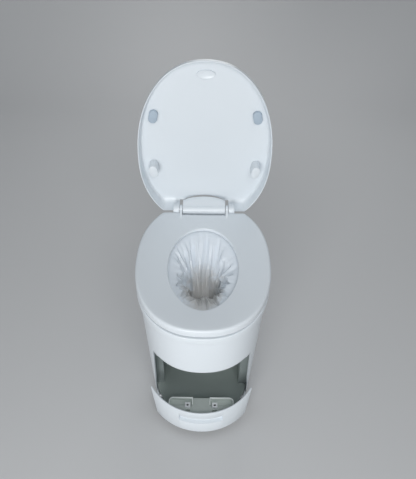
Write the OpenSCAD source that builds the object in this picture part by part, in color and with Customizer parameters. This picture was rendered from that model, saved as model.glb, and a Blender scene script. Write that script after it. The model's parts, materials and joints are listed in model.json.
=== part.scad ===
// Waterless packing toilet. A pedal at the front works a pair of pinch rollers under the bowl,
// which draw a tubular film liner down from a ring cassette that sits below the hinged seat.
// Millimetres. X to the right, Y to the back, Z up; the origin is on the floor, under the bowl.

/* [Seat outline] */
// Half of the seat's greatest width
seat_half_w = 188; // [170:1:200]
// Front of the seat, ahead of the origin
seat_front = 209; // [190:1:225]
// Plan centre of the outline, behind the origin
outline_mid = 40; // [20:1:60]
// Back of the body's outline, behind the origin
outline_back = 286; // [270:1:300]
// Squareness of the outline, where 2 is an ellipse
outline_power = 2.3; // [2:0.05:2.6]

/* [Heights] */
// Top of the seat above the floor
seat_top = 505; // [460:1:540]
// Depth of the seat's side band
seat_band = 24; // [18:1:32]
// Gap between the seat and the collar
seat_gap = 4; // [3:0.5:8]
// Depth of the collar under the seat
collar_h = 23; // [16:1:32]

/* [Bowl hole] */
// Half width of the hole in the seat
hole_half_w = 98.5; // [85:0.5:110]
// Front of the hole, ahead of the origin
hole_front = 137; // [120:1:150]
// Back of the hole, behind the origin
hole_back = 171; // [150:1:185]
// Thickness of the seat moulding
seat_wall = 4; // [3:0.5:6]
// How far the seat's surface dips towards the hole
seat_dish = 9; // [4:0.5:12]

/* [Lid] */
// How much the lid reaches past the seat all round
lid_reach = 0.5; // [0:0.5:4]
// How far the lid's front stays behind the seat's front
lid_front_in = 1.5; // [0.5:0.5:4]
// Gap between the closed lid's rim and the seat
lid_gap = 3; // [2:0.5:6]
// Depth of the lid at its front
lid_front_depth = 17.5; // [15:1:30]
// Depth of the lid at its hinge
lid_back_depth = 44; // [43:0.5:52]
// Thickness of the lid moulding
lid_wall = 3; // [2:0.5:5]
// Rise of the lid's crown above its edge
lid_crown = 6; // [2:0.5:12]
// Radius of the lid's edge over the hinge
lid_back_r = 26; // [20:1:30]
// Plan centre of the lid's outline, behind the origin
lid_mid = 74; // [60:1:85]
// Back of the lid's outline, as if the hinge didn't cut it
lid_back = 309; // [300:1:320]
// Squareness of the lid's front half, where 2 is an ellipse
lid_front_power = 2.15; // [2:0.05:2.6]
// Squareness of the lid's back half, where 2 is an ellipse
lid_back_power = 2.2; // [2:0.05:2.6]
// How far the closed lid reaches behind the hinge pin
lid_tail = 8; // [4:0.5:10]
// Angle that the open lid leans back from upright
lid_lean = 2; // [1:0.5:12]

/* [Lid pads] */
// Width of a pad
pad_w = 24; // [20:1:30]
// Length of a pad
pad_l = 38; // [32:1:46]
// Thickness of the upper pads
pad_h = 8; // [6:0.5:12]
// Angle that a pad leans
pad_lean = 12; // [0:1:20]
// Distance of the upper pads from the lid's side
upper_pad_in = 47.5; // [44:0.5:60]
// Distance of the upper pads ahead of the origin
upper_pad_y = 45; // [20:1:60]
// Distance of the lower buffers from the lid's side
lower_pad_in = 41.5; // [40:0.5:55]
// Distance of the lower buffers behind the origin
lower_pad_y = 118; // [100:1:130]
// Distance of the oval plate from the lid's front
badge_in = 43.5; // [30:0.5:60]
// Width of the oval plate
badge_w = 47; // [40:1:60]
// Height of the oval plate
badge_h = 23.5; // [18:0.5:28]

/* [Hinge] */
// Distance of the hinge pin behind the origin
hinge_y = 252; // [248:1:256]
// Height of the hinge pin above the seat's top
hinge_rise = 1; // [0:0.5:3]
// Radius of the hinge knuckles
knuckle_r = 13.5; // [11:0.5:15]
// Rise of the hinge block's arched back above its front
arch_rise = 16; // [8:0.5:18]
// Half width of the fixed hinge block
block_half_w = 64.5; // [50:0.5:70]
// Thickness of each ear on the seat
ear_w = 7.5; // [5:0.5:10]
// Width of each lug on the lid
lug_w = 17.5; // [12:0.5:24]
// Sideways gap between hinge pieces
hinge_play = 1.5; // [1:0.25:3]
// Radius of the hinge pin
pin_r = 4; // [3:0.25:5]

/* [Body] */
// Half of the body's width under the collar
body_top_half_w = 181.5; // [168:0.5:195]
// Half of the body's width at the floor
body_foot_half_w = 151.5; // [145:0.5:175]
// Wall of the body moulding
body_wall = 6; // [4:0.5:8]
// Front of the body at the top, ahead of the origin
body_top_front = 199; // [185:1:205]
// Front of the body at the floor, ahead of the origin
body_foot_front = 204; // [190:1:215]
// Back of the body at the floor, behind the origin
body_foot_back = 216; // [190:1:250]
// Plan centre of the foot, where minus is ahead of the origin
foot_mid = -47; // [-60:1:-30]
// Top edge of the front opening
opening_top = 305; // [290:1:312]
// Lower edge of the front opening
opening_sill = 14; // [12:1:16]
// Half width of the opening at its top
opening_top_half_w = 130; // [120:1:135]
// Half width of the opening at its sill
opening_sill_half_w = 147; // [138:0.5:150]

/* [Waste compartment] */
// Half width inside the compartment
bay_half_w = 120; // [100:1:120]
// Wall of the compartment liner
bay_wall = 3; // [2:0.5:4]
// Underside of the compartment floor
bay_floor = 40; // [39:0.5:44]
// Inside back of the compartment, behind the origin
bay_back = 150; // [120:1:155]

/* [Pedal] */
// Radius of the pedal's curved front
pedal_r = 177.5; // [170:0.5:185]
// Height of the pedal plate
pedal_h = 112; // [95:1:120]
// Clearance of the released pedal above the floor
pedal_lift = 26; // [25:0.5:30]
// Front of the pedal, ahead of the origin
pedal_front = 238; // [234:1:245]
// Wall of the pedal plate
pedal_wall = 5; // [3.5:0.5:7]
// Half angle of the pedal plate's top edge
pedal_half_angle = 60.5; // [50:0.5:64]
// Half width of the toe recess
toe_half_w = 67; // [55:1:75]
// Height of the toe ledge above the plate's lower edge
toe_ledge = 48; // [40:1:52]
// Height of the toe recess
toe_h = 42; // [34:1:48]

/* [Mechanism] */
// Height of the roller shafts
roller_z = 345; // [342:0.5:352]
// Plan centre of the rollers and of the bowl, behind the origin
bowl_mid = 17; // [10:1:24]
// Radius of the rubber rollers
roller_r = 17; // [15:0.5:18]
// Gap between the two rollers
roller_nip = 2; // [1.5:0.25:3]
// Half length of the rubber rollers
roller_half_l = 78; // [65:1:78]
// Radius of the roller shafts
shaft_r = 5; // [4:0.25:6]
// Module of the gear teeth
tooth_module = 1.5; // [1.25:0.25:1.5]
// Teeth on the pinion that the rack turns
pinion_teeth = 18; // [17:1:20]
// Distance of the lifting rods behind the origin
rod_y = 60; // [58:1:64]
// Distance of each lifting rod from the middle
rod_x = 129.5; // [128:0.5:130]
// Radius of the lifting rods
rod_r = 6; // [5:0.25:6]
// Height of the pedal's pivot shaft
pivot_z = 24; // [23:0.5:25]
// Distance of the pedal's pivot ahead of the origin
pivot_front = 110; // [100:1:115]
// Radius of the pedal's pivot shaft
pivot_r = 6; // [5:0.25:7]
// Lift of the rods at full pedal travel
rod_travel = 29.5; // [28:0.1:29.6]

/* [Film] */
// Number of folds round the hanging film
film_folds = 18; // [12:1:20]
// Half width of the film where it is gathered
film_neck = 46; // [35:1:60]
// Thickness of the film bag as modelled
film_wall = 1.2; // [1:0.1:1.6]

/* [Hidden] */

// Colours, as the photograph shows them
WHITE = [0.85, 0.88, 0.91];
PALE = [0.77, 0.81, 0.84];
PAD_BLUE = [0.66, 0.72, 0.78];
DARK_LINER = [0.3, 0.34, 0.33];
GREY_GREEN = [0.62, 0.66, 0.64];
STEEL = [0.7, 0.71, 0.73];
DARK_RUBBER = [0.16, 0.17, 0.17];
FILM = [0.88, 0.91, 0.94];

// Clearances
still_gap = 0.3;      // between pieces that stand side by side
run_clear = 0.06;     // radial, between a shaft and its bore
set_clear = 0.02;     // radial, between a piece and what it is pressed into
shell_clear = 0.5;    // between the body's inner face and what stands inside it

// Heights that follow from the stack
seat_bottom = seat_top - seat_band;
collar_top = seat_bottom - seat_gap;
shell_top = collar_top - collar_h;
hinge_z = seat_top + hinge_rise;
foot_h = 3;
base_flange_h = 4;
base_step_h = 4;
shell_bottom = foot_h + base_flange_h;
base_top = shell_bottom + base_step_h;
deck_bottom = opening_top + 4;
deck_h = 6;
deck_top = deck_bottom + deck_h;

// Outlines are rings of round_n points
round_n = 72;
wide = 400;           // reach of cutting blocks, past the whole object

function signed_pow(v, p) = sign(v) * pow(abs(v), p);
function mix(a, b, u) = a + (b - a) * u;

// A closed plan outline: half width a, front and back reach, mid, front and back powers and a
// straight cut across the back
function outline(a, front, back, mid, nf, nb, cut = wide) = [
    for (i = [0:round_n - 1])
        let (t = 360 * i / round_n, n = sin(t) < 0 ? nf : nb, b = sin(t) < 0 ? front + mid : back - mid)
        [a * signed_pow(cos(t), 2 / n), min(cut, mid + b * signed_pow(sin(t), 2 / n))]
];
function raise(ring, z) = [for (p = ring) [p[0], p[1], z]];
function blend(ring_a, ring_b, u) = [for (i = [0:round_n - 1]) mix(ring_a[i], ring_b[i], u)];

// The outline of the seat, drawn in by inset and cut across the back
seat_cut = hinge_y - knuckle_r - 1.5;
function seat_line(inset, cut = wide) = outline(seat_half_w - inset, seat_front - inset,
    outline_back + 2 - inset, outline_mid, outline_power, outline_power, cut);
// The hole in the seat, grown by grow
hole_power = 2.05;
function hole_line(grow) = outline(hole_half_w + grow, hole_front + grow, hole_back + grow,
    bowl_mid, hole_power, hole_power);
// The outer outline of the body at height z, drawn in by inset
taper_power = 1.15;
foot_front_power = 2.05;
foot_back_power = 2.6;
function body_line(z, inset) = let (
    u = (shell_top - z) / shell_top,
    w = mix(body_top_half_w, body_foot_half_w, pow(max(u, 0), taper_power)))
    outline(w - inset, mix(body_top_front, body_foot_front, u) - inset,
        mix(outline_back - 3, body_foot_back, u) - inset, mix(outline_mid, foot_mid, u),
        mix(outline_power, foot_front_power, u), mix(outline_power, foot_back_power, u));

// A skin over rings of points. closed joins the last ring to the first, and otherwise each end
// gets a fan of triangles round its own centre.
module loft(rings, closed = false) {
    n = len(rings[0]);
    m = len(rings);
    spans = closed ? m : m - 1;
    points = [for (r = rings) for (p = r) p];
    ends = closed ? [] : [for (r = [rings[0], rings[m - 1]]) [for (k = [0:2]) sum_of(r, k) / n]];
    sides = [for (i = [0:spans - 1], j = [0:n - 1])
        let (a = i * n + j, b = i * n + (j + 1) % n, c = ((i + 1) % m) * n + (j + 1) % n,
            d = ((i + 1) % m) * n + j)
        each [[a, c, b], [a, d, c]]];
    caps = closed ? [] : [for (j = [0:n - 1])
        let (k = (j + 1) % n, last = (m - 1) * n)
        each [[j, k, m * n], [last + k, last + j, m * n + 1]]];
    polyhedron(points = concat(points, ends), faces = concat(sides, caps), convexity = 8);
}
function sum_of(ring, k, i = 0) = i == len(ring) ? 0 : ring[i][k] + sum_of(ring, k, i + 1);

// A flat plate of the given outline between two heights
module slab(ring, z0, z1) {
    translate([0, 0, z0]) linear_extrude(z1 - z0) polygon(ring);
}
module ring_slab(outer, inner, z0, z1) {
    translate([0, 0, z0]) linear_extrude(z1 - z0) difference() {
        polygon(outer);
        polygon(inner);
    }
}
// A rod along X, between two places
module rod_x_way(r, x0, x1, y, z, fn = 40) {
    translate([x0, y, z]) rotate([0, 90, 0]) cylinder(r = r, h = x1 - x0, $fn = fn);
}
// A YZ outline made solid between two places along X
module along_x(x0, x1) {
    translate([x0, 0, 0]) rotate([90, 0, 90]) linear_extrude(x1 - x0) children();
}
module both_sides() {
    children();
    mirror([1, 0, 0]) children();
}
module block(x0, x1, y0, y1, z0, z1) {
    translate([x0, y0, z0]) cube([x1 - x0, y1 - y0, z1 - z0]);
}

// Base: a moulded floor plate on rubber feet
base_edge = 1;
pivot_y = -pivot_front;
pivot_block_x = 100;
pivot_block_w = 12;
foot_r = 17;
foot_places = [[-76, -142], [76, -142], [-85, 120], [85, 120], [0, 0]];
foot_boss_r = 9;
module base_plate() {
    color(DARK_LINER) difference() {
        union() {
            slab(body_line(shell_bottom, base_edge), foot_h, shell_bottom);
            slab(body_line(shell_bottom, body_wall + shell_clear), shell_bottom, base_top);
        }
        for (p = foot_places)
            translate([p[0], p[1], foot_h - 1]) cylinder(r = foot_boss_r + set_clear, h = 5, $fn = 40);
        base_screw_bores();
    }
}
module base_screw_bores() {
    for (p = base_screw_places)
        translate([p[0], p[1], 0]) cylinder(r = base_screw_r + set_clear, h = foot_h + base_screw_l, $fn = 24);
}
module feet() {
    color(DARK_RUBBER) for (p = foot_places) translate([p[0], p[1], 0]) {
        cylinder(r = foot_r, h = foot_h, $fn = 40);
        cylinder(r = foot_boss_r, h = foot_h + 4, $fn = 40);
    }
}
base_screw_r = 2;
base_screw_l = 14;
base_screw_places = [for (x = [-1, 1], y = [-8, 8]) [x * (pivot_block_x + pivot_block_w / 2), pivot_y + y]];
module base_screws() {
    color(STEEL) for (p = base_screw_places) translate([p[0], p[1], foot_h - 1.5]) {
        cylinder(r = 3.6, h = 1.5, $fn = 24);
        cylinder(r = base_screw_r, h = base_screw_l, $fn = 24);
    }
}

// Body: one tapering moulding, open at the front, where the hatch of the waste compartment goes
shell_steps = 8;
module body_shell() {
    heights = [for (i = [0:shell_steps]) mix(shell_bottom, shell_top, i / shell_steps)];
    outer = [for (z = heights) raise(body_line(z, 0), z)];
    inner = [for (i = [shell_steps:-1:0]) raise(body_line(heights[i], body_wall), heights[i])];
    color(WHITE) difference() {
        loft(concat(outer, inner), closed = true);
        opening_cutter();
    }
}
opening_depth = -60;
opening_corner = 16;
module opening_cutter() {
    translate([0, opening_depth, 0]) rotate([90, 0, 0]) linear_extrude(wide) polygon([
        [-opening_sill_half_w, opening_sill], [opening_sill_half_w, opening_sill],
        [opening_top_half_w + 1, opening_top - opening_corner],
        [opening_top_half_w - opening_corner * 0.3, opening_top],
        [-opening_top_half_w + opening_corner * 0.3, opening_top],
        [-opening_top_half_w - 1, opening_top - opening_corner]]);
}

// Waste compartment: a dark lining with side cheeks that close on the body beside the opening
cheek_y = -72;
module compartment_liner() {
    color(DARK_LINER) difference() {
        liner_walls();
        both_sides() block(pedal_arm_x - arm_room, pedal_arm_x + pedal_arm_w + arm_room, -wide, arm_notch_y,
            bay_floor - 1, bay_floor + bay_wall + 1);
    }
}
arm_room = 3;
arm_notch_y = -pedal_front + 72;
module liner_walls() {
    difference() {
        intersection() {
            union() {
                block(-bay_half_w - bay_wall, bay_half_w + bay_wall, cheek_y - bay_wall,
                    bay_back + bay_wall, bay_floor, deck_bottom);
                block(-wide, wide, -wide, cheek_y, bay_floor, bay_floor + bay_wall);
                block(-wide, wide, cheek_y - bay_wall, cheek_y, bay_floor, deck_bottom);
            }
            body_core(body_wall + shell_clear);
        }
        intersection() {
            block(-bay_half_w, bay_half_w, -wide, bay_back, bay_floor + bay_wall, wide);
            body_core(body_wall + shell_clear + bay_wall);
        }
    }
}
// The space inside the body, drawn in by inset from its outer face
module body_core(inset) {
    loft([for (i = [0:shell_steps])
        let (z = mix(shell_bottom, shell_top, i / shell_steps)) raise(body_line(z, inset), z)]);
}

// Deck: the floor of the mechanism, over the compartment
slot_half_l = film_neck + 14;
slot_half_w = 12;
bush_wall = 3;
module mechanism_deck() {
    color(PALE) difference() {
        slab(body_line(deck_bottom, body_wall + shell_clear), deck_bottom, deck_top);
        block(-slot_half_l, slot_half_l, bowl_mid - slot_half_w, bowl_mid + slot_half_w,
            deck_bottom - 1, deck_top + 1);
        both_sides() translate([rod_x, rod_y, deck_bottom - 1])
            cylinder(r = rod_r + bush_wall + set_clear, h = deck_h + 2, $fn = 40);
        block(pinion_x0 - arm_room, pinion_x0 + pinion_w + arm_room, rack_line - 2.5, yoke_back + 2,
            deck_bottom - 1, deck_top + 1);
        both_sides() frame_screw_bores();
    }
}
module rod_bushes() {
    color(GREY_GREEN) both_sides() translate([rod_x, rod_y, 0]) difference() {
        union() {
            translate([0, 0, deck_bottom])
                cylinder(r = rod_r + bush_wall, h = deck_h, $fn = 40);
            translate([0, 0, deck_top]) cylinder(r = rod_r + bush_wall + 3, h = 3, $fn = 40);
        }
        cylinder(r = rod_r + run_clear, h = wide, $fn = 40);
    }
}

// Collar: the fixed frame under the seat, which the cassette drops into
collar_out = 4;
tray_grow = 36;
ledge_in = 5;
ledge_h = 4;
module collar_frame() {
    color(WHITE) difference() {
        union() {
            ring_slab(collar_line(0), hole_line(tray_grow + still_gap), shell_top, collar_top);
            ring_slab(collar_line(20), hole_line(tray_grow - ledge_in), shell_top, shell_top + ledge_h);
            ring_slab(body_line(shell_top, body_wall + 0.8), body_line(shell_top, body_wall + 3.8),
                shell_top - 6, shell_top);
        }
        collar_screw_bores();
        hinge_screw_bores();
    }
}
module collar_screw_bores() {
    for (p = collar_screw_places) translate([p[0], p[1], shell_top - funnel_flange_h])
        cylinder(r = collar_screw_r + set_clear, h = collar_screw_l, $fn = 24);
}
function collar_line(inset) = outline(seat_half_w - inset, seat_front + collar_out - inset,
    outline_back - inset, outline_mid, outline_power, outline_power);
collar_screw_r = 2;
collar_screw_l = 12;
collar_screw_line = hole_line(40);
collar_screw_places = [for (i = [4, 32, 40, 68]) collar_screw_line[i]];
module collar_screws() {
    color(STEEL) for (p = collar_screw_places) translate([p[0], p[1], shell_top - funnel_flange_h - 2]) {
        cylinder(r = 4, h = 2, $fn = 24);
        cylinder(r = collar_screw_r, h = collar_screw_l, $fn = 24);
    }
}

// Cassette: a ring tray that holds the folded tube of film, and its cover
tray_floor_h = 2.5;
tray_wall = 2.5;
tray_inner_grow = 6;
tray_bottom = shell_top + ledge_h;
tray_top = collar_top - 2.5;
module cassette_tray() {
    color(PALE) {
        ring_slab(hole_line(tray_grow), hole_line(tray_inner_grow), tray_bottom,
            tray_bottom + tray_floor_h);
        ring_slab(hole_line(tray_grow), hole_line(tray_grow - tray_wall), tray_bottom, tray_top);
        ring_slab(hole_line(tray_inner_grow + tray_wall), hole_line(tray_inner_grow), tray_bottom,
            tray_top - 3);
    }
}
module film_pack() {
    color(FILM) ring_slab(hole_line(tray_grow - tray_wall - 1),
        hole_line(tray_inner_grow + tray_wall + 1), tray_bottom + tray_floor_h, tray_top - 4);
}
module cassette_cover() {
    color(PALE) ring_slab(hole_line(tray_grow), hole_line(tray_inner_grow + tray_wall + 3), tray_top,
        tray_top + 2);
}

// Film: the liner hangs from the cassette as a pleated bag and leaves flat between the rollers
film_mouth_grow = tray_inner_grow - 0.4;
film_top = tray_top - 1;
film_floor = roller_z + roller_r + 12;
film_tail_half_t = 0.5;
neck_z = roller_z + 10;
film_tail_z = deck_bottom - 6;
function film_ring(u, z, inset) = [
    for (i = [0:film_n - 1])
        let (t = 360 * i / film_n, c = cos(t), s = sin(t), fold = cos(t * film_folds),
            droop = pow(u, 0.75),
            a = mix(hole_half_w + film_mouth_grow, film_neck, droop) - inset,
            b = mix((hole_back + hole_front) / 2 + film_mouth_grow, film_tail_half_t, droop) - inset,
            g = 1 + fold_depth * sin(180 * min(1, u * 1.02)) * fold)
        [a * g * signed_pow(c, 0.975), bowl_mid + max(b, film_tail_half_t) * g * signed_pow(s, 0.975), z]
];
film_n = film_folds * 5;
fold_depth = 0.045;
module liner_film() {
    levels = [1, 0.86, 0.66, 0.44, 0.22, 0];
    function film_z(u) = mix(film_top, neck_z, u);
    outer = [for (u = levels) film_ring(u, film_z(u), 0)];
    inner = [for (u = [0, 0.22, 0.44, 0.62]) film_ring(u, film_z(u), film_wall)];
    color(FILM) loft(concat([film_ring(1, film_tail_z, 0)], outer, inner));
}

// Funnel: guides the film from the cassette to the rollers
funnel_wall = 2.5;
funnel_mouth_grow = 12;
funnel_flange_grow = 44;
funnel_flange_h = 4;
funnel_out_half_l = 86;
funnel_out_half_w = 16;
funnel_bottom = roller_z + roller_r + 4;
module guide_funnel() {
    mouth_z = shell_top - funnel_flange_h;
    function throat(inset) = outline(funnel_out_half_l - inset, funnel_out_half_w - bowl_mid - inset,
        funnel_out_half_w + bowl_mid - inset, bowl_mid, hole_power, hole_power);
    rings = [for (s = [0, 1]) for (k = [0:3])
        let (u = (s == 0 ? k : 3 - k) / 3, ease = pow(u, 1.25))
        raise(blend(throat(s * funnel_wall), hole_line(funnel_mouth_grow + funnel_wall - s * funnel_wall),
            ease), mix(funnel_bottom, mouth_z + 0.5, u))];
    color(PALE) difference() {
        union() {
            loft(rings, closed = true);
            ring_slab(hole_line(funnel_flange_grow), hole_line(funnel_mouth_grow), mouth_z, shell_top);
        }
        collar_screw_bores();
    }
}

// Roller frame: two side plates on the deck, with bushes for the shafts
plate_x = 90;
plate_t = 6;
plate_foot = 12;
plate_front = -30;
plate_back = rod_y - 5.5;
front_axis_y = bowl_mid - roller_r - roller_nip / 2;
rear_axis_y = bowl_mid + roller_r + roller_nip / 2;
frame_screw_r = 2;
frame_screw_l = 8;
frame_screw_places = [for (y = [plate_front + 10, plate_back - 10]) [plate_x - plate_foot / 2, y]];
module frame_screw_bores() {
    for (p = frame_screw_places) translate([p[0], p[1], deck_top + 4 - frame_screw_l])
        cylinder(r = frame_screw_r + set_clear, h = frame_screw_l + 1, $fn = 24);
}
module frame_screws() {
    color(STEEL) both_sides() for (p = frame_screw_places) translate([p[0], p[1], deck_top + 4]) {
        cylinder(r = 3.8, h = 2, $fn = 24);
        translate([0, 0, -frame_screw_l]) cylinder(r = frame_screw_r, h = frame_screw_l + 1, $fn = 24);
    }
}
module side_plate() {
    difference() {
        union() {
            block(plate_x, plate_x + plate_t, plate_front, plate_back, deck_top, roller_z + 22);
            block(plate_x - plate_foot, plate_x, plate_front, plate_back, deck_top, deck_top + 4);
        }
        for (y = [front_axis_y, rear_axis_y])
            rod_x_way(shaft_r + bush_wall + set_clear, plate_x - 1, plate_x + plate_t + 1, y, roller_z);
        frame_screw_bores();
    }
}
module side_plate_left() {
    color(STEEL) mirror([1, 0, 0]) side_plate();
}
module side_plate_right() {
    color(STEEL) side_plate();
}
module shaft_bushes() {
    color(GREY_GREEN) both_sides() for (y = [front_axis_y, rear_axis_y]) difference() {
        union() {
            rod_x_way(shaft_r + bush_wall, plate_x, plate_x + plate_t, y, roller_z);
            rod_x_way(shaft_r + bush_wall + 2, plate_x - 2, plate_x, y, roller_z);
        }
        rod_x_way(shaft_r + run_clear, plate_x - 4, plate_x + plate_t + 2, y, roller_z);
    }
}

// Rollers: rubber sleeves on steel shafts, geared together on the left and driven by a rack
gear_x0 = -112;
gear_w = 8;
roller_teeth = 2 * (roller_r + roller_nip / 2) / tooth_module;
pinion_x0 = 107;
pinion_w = 10;
pinion_pitch_r = pinion_teeth * tooth_module / 2;
module front_roller_shaft() {
    color(STEEL) rod_x_way(shaft_r, gear_x0 - 2, plate_x + plate_t + 2, front_axis_y, roller_z);
}
module rear_roller_shaft() {
    color(STEEL) rod_x_way(shaft_r, gear_x0 - 2, pinion_x0 + pinion_w + 3, rear_axis_y, roller_z);
}
module sleeve(y) {
    difference() {
        rod_x_way(roller_r, -roller_half_l, roller_half_l, y, roller_z, 64);
        rod_x_way(shaft_r + set_clear, -roller_half_l - 1, roller_half_l + 1, y, roller_z);
    }
}
module front_roller() {
    color(DARK_RUBBER) sleeve(front_axis_y);
}
module rear_roller() {
    color(DARK_RUBBER) sleeve(rear_axis_y);
}

// Involute teeth: points of one flank, from the base circle to the tip
pressure = 20;
backlash = 0.12;
flank_steps = 4;
function inv(a) = tan(a) - a * PI / 180;
function flank_angle(r, rb) = let (a = acos(min(1, rb / r))) inv(a) * 180 / PI;
function gear_points(z, turn) = let (
    rp = z * tooth_module / 2, rb = rp * cos(pressure), ra = rp + 0.9 * tooth_module,
    rf = rp - 1.2 * tooth_module, rs = max(rb, rf + 0.2),
    half = 90 / z - backlash / 2 / rp * 180 / PI, base = half + inv(pressure) * 180 / PI)
    [for (k = [0:z - 1]) let (mid = turn + 360 * k / z) each concat(
        [polar(rf, mid - base), polar(rs, mid - base + flank_angle(rs, rb))],
        [for (i = [1:flank_steps]) let (r = mix(rs, ra, i / flank_steps))
            polar(r, mid - base + flank_angle(r, rb))],
        [for (i = [flank_steps:-1:1]) let (r = mix(rs, ra, i / flank_steps))
            polar(r, mid + base - flank_angle(r, rb))],
        [polar(rs, mid + base - flank_angle(rs, rb)), polar(rf, mid + base)])];
function polar(r, a) = [r * cos(a), r * sin(a)];
// A gear along X: angles in its outline run from +Y towards +Z
module gear(z, turn, x0, w, y) {
    difference() {
        translate([0, y, roller_z]) along_x(x0, x0 + w) polygon(gear_points(z, turn));
        rod_x_way(shaft_r + set_clear, x0 - 1, x0 + w + 1, y, roller_z);
    }
}
module rear_roller_gear() {
    color(PALE) gear(roller_teeth, 0, gear_x0, gear_w, rear_axis_y);
}
module front_roller_gear() {
    color(PALE) gear(roller_teeth, 180 / roller_teeth, gear_x0, gear_w, front_axis_y);
}
module drive_pinion() {
    color(STEEL) gear(pinion_teeth, 0, pinion_x0, pinion_w, rear_axis_y);
}
module one_way_clutch() {
    color(STEEL) difference() {
        rod_x_way(11, plate_x + plate_t + 1, pinion_x0, rear_axis_y, roller_z);
        rod_x_way(shaft_r + set_clear, plate_x, pinion_x0 + 1, rear_axis_y, roller_z);
    }
}

// Lifting gear: two rods stand on the pedal's arms and carry a cross bar with the rack
arm_half_h = 7;
rod_foot_z = pivot_z + arm_half_h + still_gap;
yoke_z0 = roller_z - 15;
yoke_h = 12;
yoke_y0 = rod_y - 3;
yoke_back = rod_y + 10;
rod_top = roller_z + 71;
module lift_rods() {
    color(STEEL) both_sides() translate([rod_x, rod_y, rod_foot_z])
        cylinder(r = rod_r, h = rod_top - rod_foot_z, $fn = 40);
}
module lift_yoke() {
    color(GREY_GREEN) difference() {
        union() {
            block(-rod_x - 9, rod_x + 9, yoke_y0, yoke_back, yoke_z0, yoke_z0 + yoke_h);
            both_sides() block(rod_x - 9, rod_x + 9, rod_y - 9, yoke_back, yoke_z0, yoke_z0 + yoke_h);
        }
        both_sides() translate([rod_x, rod_y, 0])
            cylinder(r = rod_r + set_clear, h = wide, $fn = 40);
    }
}
rack_pitch = PI * tooth_module;
rack_line = rear_axis_y + pinion_pitch_r;
rack_teeth_down = ceil((rod_travel + 8) / rack_pitch);
module drive_rack() {
    // The pinion has a tooth at +Y, so the rack has a gap at the height of the shaft
    top = 0.9 * tooth_module;
    root = 1.2 * tooth_module;
    half = rack_pitch / 4 - backlash / 2;
    tip = half - top * tan(pressure);
    foot = half + root * tan(pressure);
    z_low = -(rack_teeth_down + 0.5) * rack_pitch;
    z_high = 2.5 * rack_pitch;
    teeth = [for (k = [-rack_teeth_down:2]) let (z = (k - 0.5) * rack_pitch) each
        [[root, z - foot], [-top, z - tip], [-top, z + tip], [root, z + foot]]];
    color(STEEL) translate([0, rack_line, roller_z]) along_x(pinion_x0 - 0.5, pinion_x0 + pinion_w + 0.5)
        polygon(concat([[yoke_y0 - rack_line, z_low], [root, z_low]], teeth,
            [[root, z_high], [yoke_y0 - rack_line, z_high]]));
}

// Return springs: coils round the rods, between the cross bar and two brackets on the deck
spring_mean_r = 9.2;
spring_wire_r = 0.9;
spring_turns = 7;
spring_z0 = yoke_z0 + yoke_h + still_gap + spring_wire_r;
shelf_z = roller_z + 60;
spring_z1 = shelf_z - still_gap - spring_wire_r;
coil_rings = 8;
coil_sides = 6;
function coil_point(i) = let (t = i / coil_rings * 360, n = spring_turns * coil_rings)
    [spring_mean_r * cos(t), spring_mean_r * sin(t), mix(spring_z0, spring_z1, i / n)];
module coil() {
    loft([for (i = [0:spring_turns * coil_rings]) let (p = coil_point(i), t = i / coil_rings * 360)
        [for (j = [0:coil_sides - 1]) let (a = -360 * j / coil_sides, out = spring_wire_r * cos(a))
            [p[0] + out * cos(t), p[1] + out * sin(t), p[2] + spring_wire_r * sin(a)]]]);
}
module return_springs() {
    color(STEEL) both_sides() translate([rod_x, rod_y, 0]) coil();
}
bracket_x = rod_x + 12.5;
bracket_t = 4;
module spring_brackets() {
    color(STEEL) both_sides() difference() {
        union() {
            block(bracket_x, bracket_x + bracket_t, rod_y - 10, rod_y + 12, deck_top, shelf_z + 5);
            block(rod_x - 12, bracket_x, rod_y - 10, rod_y + 12, shelf_z, shelf_z + 5);
        }
        translate([rod_x, rod_y, 0]) cylinder(r = rod_r + run_clear, h = wide * 2, $fn = 40);
    }
}

// Pedal pivot: a shaft across the base in two bearing blocks
module pivot_blocks() {
    color(GREY_GREEN) both_sides() difference() {
        block(pivot_block_x, pivot_block_x + pivot_block_w, pivot_y - 15, pivot_y + 15, base_top,
            pivot_z + 14);
        rod_x_way(pivot_r + 2 + set_clear, pivot_block_x - 1, pivot_block_x + pivot_block_w + 1,
            pivot_y, pivot_z);
        base_screw_bores();
    }
}
module pivot_bushes() {
    color(DARK_RUBBER) both_sides() difference() {
        rod_x_way(pivot_r + 2, pivot_block_x, pivot_block_x + pivot_block_w, pivot_y, pivot_z);
        rod_x_way(pivot_r + run_clear, pivot_block_x - 1, pivot_block_x + pivot_block_w + 1,
            pivot_y, pivot_z);
    }
}
lift_arm_x0 = rod_x - 3.5;
lift_arm_w = 7;
module pivot_shaft() {
    color(STEEL) rod_x_way(pivot_r, -lift_arm_x0 - lift_arm_w - 1, lift_arm_x0 + lift_arm_w + 1,
        pivot_y, pivot_z);
}
module lift_arms() {
    color(STEEL) both_sides() difference() {
        union() {
            block(lift_arm_x0, lift_arm_x0 + lift_arm_w, pivot_y, rod_y, pivot_z - arm_half_h,
                pivot_z + arm_half_h);
            rod_x_way(arm_half_h, lift_arm_x0, lift_arm_x0 + lift_arm_w, rod_y, pivot_z);
            rod_x_way(pivot_r + 4, lift_arm_x0, lift_arm_x0 + lift_arm_w, pivot_y, pivot_z);
        }
        rod_x_way(pivot_r + set_clear, lift_arm_x0 - 1, lift_arm_x0 + lift_arm_w + 1, pivot_y, pivot_z);
    }
}
pedal_arm_x = 82;
pedal_arm_w = 8;
arm_boss_r = pivot_r + 5;
arm_front_y = -pedal_front + 34;
arm_post_w = 23;
carrier_bottom = pedal_lift + 70;
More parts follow.
